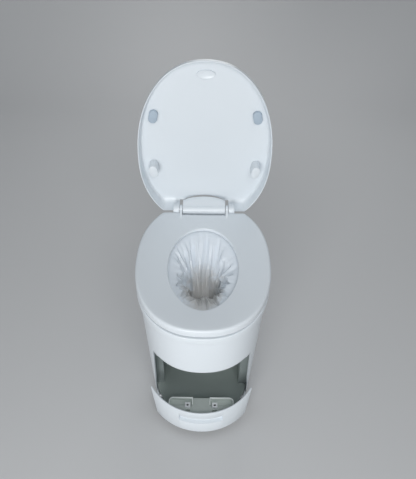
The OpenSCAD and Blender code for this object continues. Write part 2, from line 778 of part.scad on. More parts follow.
module pedal_arms() {
    color(STEEL) both_sides() difference() {
        union() {
            along_x(pedal_arm_x, pedal_arm_x + pedal_arm_w) polygon([
                [pivot_y, pivot_z - arm_boss_r], [pivot_y - 40, pivot_z - 4], [pivot_y - 66, pivot_z + 5],
                [arm_front_y, pivot_z + 16], [arm_front_y, carrier_bottom],
                [arm_front_y + arm_post_w, carrier_bottom], [arm_front_y + arm_post_w, pivot_z + 36],
                [pivot_y - 62, pivot_z + 15], [pivot_y - 40, pivot_z + 13],
                [pivot_y, pivot_z + arm_boss_r]]);
            rod_x_way(arm_boss_r, pedal_arm_x, pedal_arm_x + pedal_arm_w, pivot_y, pivot_z);
        }
        rod_x_way(pivot_r + set_clear, pedal_arm_x - 1, pedal_arm_x + pedal_arm_w + 1, pivot_y, pivot_z);
    }
}

// Pedal: a curved plate with a toe recess, on a carrier that is screwed to two blocks
pedal_mid_y = pedal_r - pedal_front;
pedal_top = pedal_lift + pedal_h;
toe_z = pedal_lift + toe_ledge;
toe_back_y = pedal_mid_y - sqrt(pedal_r * pedal_r - toe_half_w * toe_half_w);
wing_slope = 0.14;
module pedal_plate() {
    wing = pedal_r * sin(pedal_half_angle);
    wing_y = pedal_mid_y - pedal_r * cos(pedal_half_angle);
    color(WHITE) difference() {
        intersection() {
            translate([0, pedal_mid_y, pedal_lift]) cylinder(r = pedal_r, h = pedal_h, $fn = 180);
            union() {
                translate([0, pedal_mid_y, pedal_lift]) difference() {
                    cylinder(r = pedal_r + 10, h = pedal_h, $fn = 180);
                    translate([0, 0, -1]) cylinder(r = pedal_r - pedal_wall, h = pedal_h + 2, $fn = 180);
                }
                block(-toe_half_w - 3, toe_half_w + 3, -wide, toe_back_y + pedal_wall - 1, toe_z - 4,
                    toe_z + toe_h + 4);
            }
            translate([0, wing_y, 0]) rotate([90, 0, 0]) linear_extrude(wide) polygon([
                [-wing + pedal_h * wing_slope, pedal_lift], [wing - pedal_h * wing_slope, pedal_lift],
                [wing, pedal_top], [-wing, pedal_top]]);
        }
        block(-toe_half_w - 1, toe_half_w + 1, -wide, toe_back_y, toe_z, toe_z + toe_h);
    }
}
carrier_h = 12;
carrier_half_w = 99;
carrier_back = -pedal_front + 70;
slot_front_y = -pedal_front + 22;
slot_back_y = -pedal_front + 29;
carrier_top = carrier_bottom + carrier_h;
pocket_rim = 2.5;
rim_h = 6;
module pedal_carrier() {
    color(GREY_GREEN) difference() {
        union() {
            intersection() {
                translate([0, pedal_mid_y, carrier_bottom])
                    cylinder(r = pedal_r - pedal_wall - still_gap, h = carrier_h + rim_h, $fn = 180);
                union() {
                    block(-carrier_half_w, carrier_half_w, -wide, carrier_back, carrier_bottom,
                        carrier_top);
                    both_sides() block(pocket_x0 - pocket_rim, carrier_half_w, pocket_y0 - pocket_rim,
                        carrier_back, carrier_bottom, carrier_top + rim_h);
                }
            }
        }
        block(-toe_half_w - 4, toe_half_w + 4, -wide, toe_back_y + pedal_wall - 1 + still_gap,
            0, wide);
        both_sides() {
            block(pocket_x0, carrier_half_w - pocket_rim, pocket_y0, carrier_back - pocket_rim,
                carrier_bottom + 3, wide);
            block(carrier_block_x0 + 1, carrier_block_x1 - 1, slot_front_y, slot_back_y, carrier_bottom + 3,
                wide);
        }
    }
}
pocket_x0 = 28;
pocket_y0 = -pedal_front + 48;
carrier_block_x0 = 32.5;
carrier_block_x1 = 49.5;
carrier_block_h = 7;
carrier_block_y0 = slot_back_y + 2;
carrier_screw_x = (carrier_block_x0 + carrier_block_x1) / 2;
carrier_screw_y = -pedal_front + 38;
carrier_screw_r = 2;
module carrier_blocks() {
    color(WHITE) both_sides() difference() {
        block(carrier_block_x0, carrier_block_x1, carrier_block_y0, pocket_y0 - pocket_rim - still_gap,
            carrier_top, carrier_top + carrier_block_h);
        translate([carrier_screw_x, carrier_screw_y, carrier_top + 2])
            cylinder(r = carrier_screw_r + 1.6, h = 20, $fn = 32);
        translate([carrier_screw_x, carrier_screw_y, 0])
            cylinder(r = carrier_screw_r + 0.1, h = wide, $fn = 32);
    }
}
module carrier_screws() {
    color(STEEL) both_sides() translate([carrier_screw_x, carrier_screw_y, carrier_top]) {
        cylinder(r = carrier_screw_r, h = 2.5, $fn = 24);
        translate([0, 0, 2]) cylinder(r = carrier_screw_r + 1.3, h = 2, $fn = 24);
    }
}

// Hinge: a fixed block, the seat's ears beside it and the lid's lugs outside them, on one pin
ear_x0 = block_half_w + hinge_play;
lug_x0 = ear_x0 + ear_w + hinge_play;
lug_x1 = lug_x0 + lug_w;
module knuckle(x0, x1, y0) {
    rod_x_way(knuckle_r, x0, x1, hinge_y, hinge_z, 64);
    block(x0, x1, y0, hinge_y, hinge_z - knuckle_r, hinge_z - 1);
}
block_top = hinge_z + knuckle_r;
arch_side_share = 1 / 3;
module hinge_block() {
    w = block_half_w;
    arch = [for (i = [-12:12])
        [i / 12 * w, block_top + arch_rise * (1 - (1 - arch_side_share) * pow(i / 12, 2))]];
    color(WHITE) difference() {
        intersection() {
            slab(collar_line(3), collar_top, block_top + arch_rise);
            union() {
                rod_x_way(knuckle_r, -w, w, hinge_y, hinge_z, 64);
                block(-w, w, hinge_y - knuckle_r, hinge_y, collar_top, hinge_z);
                intersection() {
                    along_x(-w, w) polygon([[hinge_y, collar_top], [hinge_y, block_top],
                        [outline_back, block_top + arch_rise], [outline_back, collar_top]]);
                    translate([0, outline_back, 0]) rotate([90, 0, 0]) linear_extrude(outline_back)
                        polygon(concat(arch, [[w, collar_top], [-w, collar_top]]));
                }
            }
        }
        rod_x_way(pin_r + 2 + set_clear, -w - 1, -w + 20, hinge_y, hinge_z);
        rod_x_way(pin_r + 2 + set_clear, w - 20, w + 1, hinge_y, hinge_z);
        rod_x_way(pin_r + 0.5, -w, w, hinge_y, hinge_z);
        hinge_screw_bores();
    }
}
hinge_screw_r = 2.5;
hinge_screw_l = 36;
hinge_screw_y = hinge_y + 12;
module hinge_screw_bores() {
    both_sides() translate([block_half_w - 24, hinge_screw_y, shell_top - 1])
        cylinder(r = hinge_screw_r + set_clear, h = hinge_screw_l + 1, $fn = 24);
}
module hinge_screws() {
    color(STEEL) both_sides() translate([block_half_w - 24, hinge_screw_y, shell_top]) {
        cylinder(r = hinge_screw_r, h = hinge_screw_l, $fn = 24);
        translate([0, 0, -3]) cylinder(r = 4.5, h = 3, $fn = 24);
    }
}
module hinge_bushes() {
    color(DARK_RUBBER) both_sides() difference() {
        rod_x_way(pin_r + 2, block_half_w - 20, block_half_w, hinge_y, hinge_z);
        rod_x_way(pin_r + run_clear, block_half_w - 21, block_half_w + 1, hinge_y, hinge_z);
    }
}
module hinge_pin() {
    color(STEEL) rod_x_way(pin_r, -lug_x1 + 4, lug_x1 - 4, hinge_y, hinge_z);
}

// Seat: a thin moulding, dished towards the hole, with two ears on the hinge pin
notch_front = hinge_y - knuckle_r - 11;
module seat_ring() {
    outer = seat_line(0, seat_cut);
    inner = hole_line(0);
    t = seat_wall;
    top = seat_top;
    dip = seat_top - seat_dish;
    profile = [
        [1, seat_bottom], [1, top - 6], [0.982, top - 1.6], [0.94, top], [0.7, top - seat_dish * 0.18],
        [0.4, top - seat_dish * 0.6], [0.14, dip], [0.035, dip - 2.5], [0, dip - 7],
        [0, seat_bottom + 2], [0.05, seat_bottom + 2], [0.06, dip - 2.5 - t], [0.4, dip - t],
        [0.93, top - t - 1.5], [0.955, top - 8], [0.96, seat_bottom]];
    color(WHITE) difference() {
        union() {
            difference() {
                loft([for (p = profile) raise(blend(inner, outer, p[0]), p[1])], closed = true);
                block(-ear_x0 - ear_w / 2, ear_x0 + ear_w / 2, notch_front, wide, 0, wide * 2);
            }
            both_sides() {
                knuckle(ear_x0, ear_x0 + ear_w, notch_front - 12);
                block(ear_x0 - hinge_play * 2, ear_x0 + ear_w, notch_front - 4, notch_front,
                    seat_bottom + 2, seat_top - 3);
            }
            block(-ear_x0 - 1, ear_x0 + 1, notch_front - 4, notch_front, seat_bottom + 2, seat_top - 3);
        }
        rod_x_way(pin_r + run_clear, -wide, wide, hinge_y, hinge_z);
    }
}
buffer_places = [[-140, -60], [140, -60], [-128, 150], [128, 150]];
module seat_buffers() {
    color(GREY_GREEN) for (p = buffer_places) translate([p[0], p[1], collar_top + still_gap])
        cylinder(r = 9, h = seat_top - seat_dish - seat_wall + 1.1 - collar_top, $fn = 32);
}

// Lid: modelled closed and turned open about the pin
lid_rim = seat_top + lid_gap;
lid_cut = hinge_y + lid_tail;
lid_notch = 24;
lid_turn = 90 + lid_lean;
lid_half_w = seat_half_w + lid_reach;
lid_front = seat_front - lid_front_in;
function lid_line(inset) = outline(lid_half_w - inset, lid_front - inset, lid_back - inset, lid_mid,
    lid_front_power, lid_back_power, lid_cut - inset);
function lid_depth(y) = mix(lid_front_depth, lid_back_depth, (y + seat_front) / (seat_front + lid_cut));
// How far the lid's surface falls towards its rounded back edge, w below the outer face
function back_fall(y, w) = let (d = y - lid_cut + lid_back_r, r = lid_back_r - w)
    w + (d > 0 ? r - sqrt(max(r * r - d * d, 0)) : 0);
// A ring of the lid's top, at a share of the way out from its centre
function lid_panel(share, w, drop = 0, inset = 0) = [for (p = lid_line(inset))
    let (x = p[0] * share, y = mix(lid_mid, p[1], share))
    [x, y, lid_rim + lid_depth(y) + lid_crown * (1 - share * share) - back_fall(y, w) - drop]];
function lid_shoulder(w, inset, drop) = [for (p = lid_line(inset))
    [p[0], p[1], max(lid_rim + lid_depth(p[1]) - back_fall(p[1], w) - drop, lid_rim + 6)]];
module open_lid() {
    translate([0, hinge_y, hinge_z]) rotate([-lid_turn, 0, 0]) translate([0, -hinge_y, -hinge_z])
        children();
}
module lid_shell() {
    w = lid_wall;
    inside = [for (s = [0.02, 0.4, 0.7, 0.88, 0.93, 0.955]) lid_panel(s, w)];
    shoulder_in = lid_shoulder(w, w + 1, 4);
    shoulder = lid_shoulder(0, 0.6, 5.5);
    outside = [for (s = [0.985, 0.96, 0.92, 0.88, 0.7, 0.4, 0.02]) lid_panel(s, 0, s > 0.98 ? 1.2 : 0)];
    color(WHITE) open_lid() difference() {
        union() {
            difference() {
                loft(concat(inside, [shoulder_in, raise(lid_line(w), lid_rim),
                    raise(lid_line(0), lid_rim), shoulder], outside));
                block(-lug_x0, lug_x0, hinge_y - lid_notch, wide, 0, wide * 2);
            }
            both_sides() {
                rod_x_way(knuckle_r, lug_x0, lug_x1, hinge_y, hinge_z, 64);
                block(lug_x0, lug_x1, hinge_y - knuckle_r, hinge_y, hinge_z, lid_rim + 12);
            }
        }
        both_sides() rod_x_way(pin_r + run_clear, lug_x0 - 1, lug_x1 - 3, hinge_y, hinge_z);
    }
}
// Pads inside the lid, each an upright oval
function lid_share(x, y) = let (p = y < lid_mid ? lid_front_power : lid_back_power,
    reach = y < lid_mid ? lid_front + lid_mid : lid_back - lid_mid)
    pow(pow(abs(x) / lid_half_w, p) + pow(abs(y - lid_mid) / reach, p), 1 / p);
function under_lid(x, y) = lid_rim + lid_depth(y) + lid_crown * (1 - pow(lid_share(x, y), 2)) - lid_wall;
// The lowest point of the lid's underside over an oval that leans in plan
function pad_top(x, y, lean, half) = min([for (s = [-1, 1], t = [-1, 1])
    under_lid(x - s * half * sin(lean) + t * pad_w * 0.35, y + s * half * cos(lean))]) - still_gap;
module lid_pad(x, y, lean, z0, deep) {
    translate([x, y, 0]) rotate([0, 0, lean]) translate([0, 0, z0 - deep])
        linear_extrude(deep) union() {
            translate([0, (pad_l - pad_w) / 2]) circle(d = pad_w, $fn = 40);
            translate([0, (pad_w - pad_l) / 2]) circle(d = pad_w, $fn = 40);
            translate([-pad_w / 2, (pad_w - pad_l) / 2]) square([pad_w, pad_l - pad_w]);
        }
}
module lid_upper_pads() {
    x = lid_half_w - upper_pad_in;
    z0 = pad_top(x, -upper_pad_y, -pad_lean, pad_l / 2);
    color(PAD_BLUE) open_lid() both_sides() lid_pad(x, -upper_pad_y, -pad_lean, z0, pad_h);
}
buffer_play = 0.6;
module lid_lower_buffers() {
    x = lid_half_w - lower_pad_in;
    z0 = pad_top(x, lower_pad_y, pad_lean, pad_l / 2);
    color(WHITE) open_lid() both_sides() lid_pad(x, lower_pad_y, pad_lean, z0, z0 - seat_top - buffer_play);
}
// A plain oval plate near the lid's front
badge_y = badge_in - lid_front;
badge_t = 2;
module lid_badge() {
    z0 = under_lid(badge_w / 2, badge_y - badge_h / 2) - still_gap;
    color(WHITE) open_lid() translate([0, badge_y, z0 - badge_t]) linear_extrude(badge_t)
        polygon([for (t = [0:9:351]) [badge_w / 2 * cos(t), badge_h / 2 * sin(t)]]);
}

base_plate();
feet();
body_shell();
compartment_liner();
mechanism_deck();
collar_frame();
collar_screws();
base_screws();
cassette_tray();
film_pack();
cassette_cover();
liner_film();
guide_funnel();
side_plate_left();
side_plate_right();
shaft_bushes();
rod_bushes();
spring_brackets();
return_springs();
frame_screws();
pivot_blocks();
pivot_bushes();
hinge_block();
hinge_bushes();
hinge_pin();
hinge_screws();
seat_ring();
seat_buffers();
lid_shell();
lid_upper_pads();
lid_lower_buffers();
lid_badge();
pedal_plate();
pedal_carrier();
carrier_blocks();
carrier_screws();
pedal_arms();
lift_arms();
pivot_shaft();
lift_rods();
lift_yoke();
drive_rack();
rear_roller_shaft();
rear_roller();
drive_pinion();
one_way_clutch();
rear_roller_gear();
front_roller_shaft();
front_roller();
front_roller_gear();
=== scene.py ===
import json
import math

import bmesh
import bpy
from mathutils import Matrix, Vector


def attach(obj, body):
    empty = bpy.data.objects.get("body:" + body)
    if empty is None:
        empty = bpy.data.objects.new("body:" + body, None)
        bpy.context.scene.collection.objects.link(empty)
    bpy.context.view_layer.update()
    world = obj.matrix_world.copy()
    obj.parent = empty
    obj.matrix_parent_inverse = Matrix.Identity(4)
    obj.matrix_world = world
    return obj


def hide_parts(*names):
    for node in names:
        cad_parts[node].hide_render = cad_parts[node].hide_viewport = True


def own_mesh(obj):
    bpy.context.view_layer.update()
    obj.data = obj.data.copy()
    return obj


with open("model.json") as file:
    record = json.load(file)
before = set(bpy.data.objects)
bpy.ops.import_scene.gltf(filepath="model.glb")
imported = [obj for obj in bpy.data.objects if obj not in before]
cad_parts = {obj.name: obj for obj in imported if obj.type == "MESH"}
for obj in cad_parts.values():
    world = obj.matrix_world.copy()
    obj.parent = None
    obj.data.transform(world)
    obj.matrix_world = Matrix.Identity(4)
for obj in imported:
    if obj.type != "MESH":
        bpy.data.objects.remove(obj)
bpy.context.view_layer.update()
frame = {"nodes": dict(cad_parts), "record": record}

# The view: a camera in front of the toilet and above it, looking 47 degrees down, with the slight
# turn and offset of the photograph's frame.
view_down = math.radians(47.0)
view_roll = math.radians(0.84)
camera_data = bpy.data.cameras.new("camera")
camera_data.lens = 39.46
camera_data.shift_x = 0.0102
camera_data.shift_y = 0.0637
camera_data.clip_end = 50.0
camera = bpy.data.objects.new("camera", camera_data)
bpy.context.collection.objects.link(camera)
look = Matrix.Rotation(math.pi / 2 - view_down, 4, "X") @ Matrix.Rotation(view_roll, 4, "Z")
camera_place = (0.0, -0.9795, 1.555)
camera.matrix_world = Matrix.Translation(camera_place) @ look
bpy.context.scene.camera = camera

# The room: a plain pale floor that runs up into a wall, a broad soft lamp in front, weaker ones
# beside the camera, overhead and behind, and an even pale sky.
floor_tone = (0.55, 0.555, 0.56, 1.0)
room_front, room_depth, room_width, room_height = -4.0, 2.6, 7.0, 4.5
sweep, sweep_steps = 0.9, 12
sweep_line = [(room_front, 0.0)]
for step in range(sweep_steps + 1):
    turn = math.pi / 2 * step / sweep_steps
    sweep_line.append((room_depth - sweep + sweep * math.sin(turn), sweep - sweep * math.cos(turn)))
sweep_line.append((room_depth, room_height))
room_points = [(x, y, z) for y, z in sweep_line for x in (-room_width / 2, room_width / 2)]
room_faces = [(2 * i, 2 * i + 1, 2 * i + 3, 2 * i + 2) for i in range(len(sweep_line) - 1)]
room_mesh = bpy.data.meshes.new("floor")
room_mesh.from_pydata(room_points, [], room_faces)
room_mesh.polygons.foreach_set("use_smooth", [True] * len(room_faces))
room = bpy.data.objects.new("floor", room_mesh)
bpy.context.collection.objects.link(room)
floor_paint = bpy.data.materials.new("floor paint")
floor_paint.use_nodes = True
floor_skin = floor_paint.node_tree.nodes["Principled BSDF"]
floor_skin.inputs["Base Color"].default_value = floor_tone
floor_skin.inputs["Roughness"].default_value = 0.9
room_mesh.materials.append(floor_paint)


def area_lamp(name, size, power, place, aim):
    lamp_data = bpy.data.lights.new(name, "AREA")
    lamp_data.shape = "DISK"
    lamp_data.size = size
    lamp_data.energy = power
    lamp = bpy.data.objects.new(name, lamp_data)
    bpy.context.collection.objects.link(lamp)
    lamp.visible_camera = False
    toward = Vector(aim) - Vector(place)
    lamp.matrix_world = Matrix.Translation(place) @ toward.to_track_quat("-Z", "Y").to_matrix().to_4x4()


area_lamp("lamp overhead", 2.2, 3.5, (0.3, -0.1, 2.9), (0.0, 0.0, 0.4))
area_lamp("lamp front", 1.6, 48.0, (-0.6, -2.8, 1.25), (0.0, 0.1, 0.5))
area_lamp("lamp beside camera", 1.2, 16.0, (0.5, -1.9, 2.5), (0.0, -0.1, 0.3))
area_lamp("lamp behind", 1.2, 9.0, (0.2, 2.1, 1.4), (0.0, 0.2, 0.4))
sky = bpy.data.worlds.new("sky")
sky.use_nodes = True
sky.node_tree.nodes["Background"].inputs["Color"].default_value = (0.90, 0.95, 1.0, 1.0)
sky.node_tree.nodes["Background"].inputs["Strength"].default_value = 0.32
bpy.context.scene.world = sky
bpy.context.scene.view_settings.view_transform = "Standard"

# Body: one tall moulding in white plastic, a little wider at the top, with a large opening in
# front for the hatch of the waste compartment. The opening's side edges are bevelled.
white_plastic = (0.74, 0.79, 0.83, 1.0)


def skin_group():
    """Moulded surface: a slow cloud of tone, and a fine grain that bends the light."""
    group = bpy.data.node_groups.new("moulded skin", "ShaderNodeTree")
    side = group.interface
    side.new_socket("Cloud Scale", in_out="INPUT", socket_type="NodeSocketFloat").default_value = 6.0
    side.new_socket("Grain Scale", in_out="INPUT", socket_type="NodeSocketFloat").default_value = 900.0
    side.new_socket("Grain Depth", in_out="INPUT", socket_type="NodeSocketFloat").default_value = 0.02
    side.new_socket("Cloud", in_out="OUTPUT", socket_type="NodeSocketFloat")
    side.new_socket("Normal", in_out="OUTPUT", socket_type="NodeSocketVector")
    nodes, links = group.nodes, group.links
    start, end = nodes.new("NodeGroupInput"), nodes.new("NodeGroupOutput")
    place = nodes.new("ShaderNodeTexCoord")
    cloud, grain = nodes.new("ShaderNodeTexNoise"), nodes.new("ShaderNodeTexNoise")
    bump = nodes.new("ShaderNodeBump")
    bump.inputs["Distance"].default_value = 0.001
    for noise, size in ((cloud, "Cloud Scale"), (grain, "Grain Scale")):
        links.new(place.outputs["Object"], noise.inputs["Vector"])
        links.new(start.outputs[size], noise.inputs["Scale"])
    cloud.inputs["Detail"].default_value = 2.0
    links.new(grain.outputs["Fac"], bump.inputs["Height"])
    links.new(start.outputs["Grain Depth"], bump.inputs["Strength"])
    links.new(cloud.outputs["Fac"], end.inputs["Cloud"])
    links.new(bump.outputs["Normal"], end.inputs["Normal"])
    return group


moulded_skin = skin_group()


def moulding(name, tone, shade=0.95, gloss=(0.26, 0.31), grain=900.0, depth=0.02, cloud=6.0, metal=0.0):
    """A finish whose tone and gloss drift a little over the surface."""
    paint = bpy.data.materials.new(name)
    paint.use_nodes = True
    nodes, links = paint.node_tree.nodes, paint.node_tree.links
    shader = nodes["Principled BSDF"]
    skin = nodes.new("ShaderNodeGroup")
    skin.node_tree = moulded_skin
    skin.inputs["Cloud Scale"].default_value = cloud
    skin.inputs["Grain Scale"].default_value = grain
    skin.inputs["Grain Depth"].default_value = depth
    tones = nodes.new("ShaderNodeValToRGB")
    tones.color_ramp.elements[0].position = 0.35
    tones.color_ramp.elements[0].color = tuple(c * shade for c in tone[:3]) + (1.0,)
    tones.color_ramp.elements[1].position = 0.65
    tones.color_ramp.elements[1].color = tuple(tone[:3]) + (1.0,)
    glosses = nodes.new("ShaderNodeMapRange")
    glosses.inputs["To Min"].default_value = gloss[0]
    glosses.inputs["To Max"].default_value = gloss[1]
    links.new(skin.outputs["Cloud"], tones.inputs["Fac"])
    links.new(skin.outputs["Cloud"], glosses.inputs["Value"])
    links.new(tones.outputs["Color"], shader.inputs["Base Color"])
    links.new(glosses.outputs["Result"], shader.inputs["Roughness"])
    links.new(skin.outputs["Normal"], shader.inputs["Normal"])
    shader.inputs["Metallic"].default_value = metal
    return paint


white_gloss = moulding("white gloss moulding", white_plastic, shade=0.992, gloss=(0.27, 0.29), cloud=3.0)


def bow(v, p):
    return math.copysign(abs(v) ** p, v)


def mix(a, b, u):
    return a + (b - a) * u


outline_count = 288


def outline(half_w, front, back, mid, power_front, power_back, cut=9.0, count=outline_count):
    """A plan outline in metres: front and back are distances from the origin."""
    line = []
    for i in range(count):
        turn = 2 * math.pi * i / count
        c, s = math.cos(turn), math.sin(turn)
        power, reach = (power_front, front + mid) if s < 0 else (power_back, back - mid)
        line.append((half_w * bow(c, 2 / power), min(cut, mid + reach * bow(s, 2 / power))))
    return line


def arc(x, y, r, turns):
    """Points round x, y at the given turns, in degrees."""
    return [(x + r * math.cos(math.radians(t)), y + r * math.sin(math.radians(t))) for t in turns]


def at(line, z):
    return [(x, y, z) for x, y in line]


def piece(name, mesh):
    obj = bpy.data.objects.new(name.replace(" ", "_"), mesh)
    bpy.context.collection.objects.link(obj)
    return obj


def loft(name, rings, closed=False):
    """A skin over rings of points. Without closed, each end gets a cap."""
    n, m = len(rings[0]), len(rings)
    points = [p for ring in rings for p in ring]
    faces = []
    for i in range(m if closed else m - 1):
        for j in range(n):
            a, b = i * n + j, i * n + (j + 1) % n
            c, d = ((i + 1) % m) * n + (j + 1) % n, ((i + 1) % m) * n + j
            faces.append((a, b, c, d))
    if not closed:
        faces.append(tuple(range(n - 1, -1, -1)))
        faces.append(tuple(range((m - 1) * n, m * n)))
    mesh = bpy.data.meshes.new(name)
    mesh.from_pydata(points, [], faces)
    work = bmesh.new()
    work.from_mesh(mesh)
    bmesh.ops.remove_doubles(work, verts=work.verts, dist=1e-6)
    bmesh.ops.recalc_face_normals(work, faces=work.faces)
    work.to_mesh(mesh)
    work.free()
    return piece(name, mesh)


def prism(name, line, low, high, along="Z"):
    """A flat outline made solid. Along X it is drawn in Y, Z, and along Y in X, Z."""
    def place(p, q):
        return {"Z": (p[0], p[1], q), "X": (q, p[0], p[1]), "Y": (p[0], q, p[1])}[along]
    return loft(name, [[place(p, q) for p in line] for q in (low, high)])


def box(name, x0, x1, y0, y1, z0, z1):
    return prism(name, [(x0, y0), (x1, y0), (x1, y1), (x0, y1)], z0, z1)


def settled(obj):
    """Keeps the mesh that the modifiers of a piece make, and drops the modifiers."""
    mesh = bpy.data.meshes.new_from_object(obj.evaluated_get(bpy.context.evaluated_depsgraph_get()))
    obj.modifiers.clear()
    obj.data = mesh


def joined(obj, other, how="DIFFERENCE"):
    """Cuts obj with other or joins the two, and drops other."""
    step = obj.modifiers.new("joined", "BOOLEAN")
    step.operation, step.object, step.solver, step.use_self = how, other, "EXACT", True
    settled(obj)
    bpy.data.objects.remove(other)


bevel_from, sharp_from = 34, 38


def finished(obj, paint, body, nodes, edge=0.0, smooth=sharp_from):
    """Rounds the sharp edges, gives the piece its paint and puts it on its body."""
    if edge:
        step = obj.modifiers.new("edge", "BEVEL")
        step.width, step.segments, step.limit_method = edge, 2, "ANGLE"
        step.angle_limit, step.miter_outer = math.radians(bevel_from), "MITER_ARC"
        settled(obj)
    obj.data.polygons.foreach_set("use_smooth", [True] * len(obj.data.polygons))
    obj.data.set_sharp_from_angle(angle=math.radians(smooth))
    obj.data.materials.clear()
    obj.data.materials.append(paint)
    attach(obj, body)
    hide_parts(*nodes)


foot_z, top_z, body_wall, body_steps = 0.007, 0.454, 0.006, 22
body_top_half_w, body_floor_half_w = 0.1815, 0.1515
# Front, back, middle, front power and back power of the outline, at the top and at the floor
body_top = (0.199, 0.283, 0.040, 2.3, 2.3)
body_floor = (0.204, 0.216, -0.047, 2.05, 2.6)


def body_line(z, inset):
    u = (top_z - z) / top_z
    half_w = mix(body_top_half_w, body_floor_half_w, max(u, 0.0) ** 1.15)
    front, back, mid, power_front, power_back = (mix(a, b, u) for a, b in zip(body_top, body_floor))
    return outline(half_w - inset, front - inset, back - inset, mid, power_front, power_back)


levels = [mix(foot_z, top_z, i / body_steps) for i in range(body_steps + 1)]
shell = loft("body", [at(body_line(z, 0), z) for z in levels]
             + [at(body_line(z, body_wall), z) for z in reversed(levels)], closed=True)
far = 0.4  # cutters reach this far past a piece
open_low, open_high, open_half_low, open_half_high = 0.014, 0.289, 0.147, 0.131
corner_x, corner_z, corner_r = 0.115, 0.2895, 0.0155
opening = [(-open_half_low, open_low), (open_half_low, open_low), (open_half_high, open_high)]
opening += arc(corner_x, corner_z, corner_r, [mix(0, 78, step / 8) for step in range(9)])
opening += [(-x, z) for x, z in reversed(opening[2:])]
joined(shell, prism("cutter", opening, -far, -0.06, "Y"))
# A slanting face on each side of the opening, where the hatch would close
flare_line = ((0.100, 0.010), (0.1472, open_low), (0.1312, open_high), (0.1292, 0.298), (0.100, 0.300))
for side in (-1, 1):
    joined(shell, loft("flare", [[(side * (x + wider), y, z) for x, z in flare_line]
                                 for y, wider in ((-0.098, -0.002), (-0.150, 0.018))]))
finished(shell, white_gloss, "body", ["body_shell"], edge=0.0009)

# Collar: a deep white ring frame that sits on the body and holds the cassette. Its outer edges
# are rounded and it stands a little proud of the body.
rim_half_w, rim_mid, rim_power = 0.188, 0.040, 2.3
collar_front, collar_back, collar_top, collar_r = 0.213, 0.286, 0.477, 0.003
hole_half_w, hole_front, hole_back, hole_mid, hole_power = 0.0985, 0.137, 0.171, 0.017, 2.05


def collar_line(inset):
    return outline(rim_half_w - inset, collar_front - inset, collar_back - inset, rim_mid, rim_power,
                   rim_power)


def hole_line(grow, count=outline_count):
    return outline(hole_half_w + grow, hole_front + grow, hole_back + grow, hole_mid, hole_power, hole_power,
                   count=count)


collar_sweep = []
for z, turns in ((0.457, range(-90, 1, 15)), (0.474, range(0, 91, 15))):
    for turn in turns:
        a = math.radians(turn)
        collar_sweep.append(at(collar_line(collar_r - collar_r * math.cos(a)), z + collar_r * math.sin(a)))
collar_inner = [at(hole_line(grow), z) for grow, z in ((0.0363, collar_top), (0.0363, 0.458), (0.031, 0.458),
                                                       (0.031, top_z))]
collar = loft("collar", collar_sweep + collar_inner, closed=True)
finished(collar, white_gloss, "body", ["collar_frame"])

# Inside pieces that keep the shape of the solid model, and their paints: floor plate, compartment
# lining, deck, cassette tray and cover, funnel, roller frame, bushes, gears, arms and rods.
def painted_light_tone(paint, output, axis, low, high, tone):
    """Paints light and shade into a moulding: blends it towards another tone, as a coordinate of its surface
    goes from low to high.
    """
    nodes, links = paint.node_tree.nodes, paint.node_tree.links
    place, parts = nodes.new("ShaderNodeTexCoord"), nodes.new("ShaderNodeSeparateXYZ")
    share, both = nodes.new("ShaderNodeMapRange"), nodes.new("ShaderNodeMix")
    both.data_type = "RGBA"
    share.inputs["From Min"].default_value = low
    share.inputs["From Max"].default_value = high
    both.inputs["B"].default_value = tone
    links.new(place.outputs[output], parts.inputs["Vector"])
    links.new(parts.outputs[axis], share.inputs["Value"])
    links.new(share.outputs["Result"], both.inputs["Factor"])
    links.new(nodes["Color Ramp"].outputs["Color"], both.inputs["A"])
    links.new(both.outputs["Result"], nodes["Principled BSDF"].inputs["Base Color"])


pale_plastic = moulding("pale plastic", (0.55, 0.60, 0.64, 1.0), gloss=(0.36, 0.46), grain=600.0, depth=0.04)
dark_plastic = moulding("dark lining plastic", (0.36, 0.415, 0.395, 1.0), shade=0.96, gloss=(0.42, 0.50),
                        grain=420.0, depth=0.06, cloud=5.0)
# Painted shade: faces of the lining that look towards the front get a darker tone, standing in for the shade
# they sit in
painted_light_tone(dark_plastic, "Normal", "Y", -0.5, -0.9, (0.22, 0.255, 0.25, 1.0))
grey_green = (0.62, 0.68, 0.65, 1.0)
grey_plastic = moulding("grey-green plastic", grey_green, shade=0.94, gloss=(0.38, 0.50), grain=500.0,
                        depth=0.05)
bare_steel = moulding("bare steel", (0.56, 0.57, 0.59, 1.0), shade=0.88, gloss=(0.26, 0.40), grain=1500.0,
                      depth=0.05, cloud=30.0, metal=1.0)
black_rubber = moulding("black rubber", (0.022, 0.023, 0.024, 1.0), shade=0.8, gloss=(0.62, 0.75),
                        grain=700.0, depth=0.12)
paints = {"pale_part": pale_plastic, "dark_liner": dark_plastic, "grey_green": grey_plastic,
          "steel": bare_steel, "dark_rubber": black_rubber, "white_shell": white_gloss}
for row in frame["record"]["subparts"]:
    solid = frame["nodes"][row["node"]]
    paint = paints.get(row["material_slot"])
    if paint is not None:
        solid.data.materials.clear()
        solid.data.materials.append(paint)

# Film pack: the store of tubular film, pushed together in flat folds inside the cassette. Its paint
# is that of the film in the bowl, without the slight transparency.
# Painted shade: the second film tone darkens and warms a round patch deep in the bowl, where the gathered
# film lies in shade
film_tone, deep_shade_tone = (0.86, 0.92, 0.98, 1.0), (0.64, 0.635, 0.62, 1.0)
shade_patch_middle, shade_patch_reach = (0.0, -0.055, 0.41), (0.070, 0.155, 0.140)


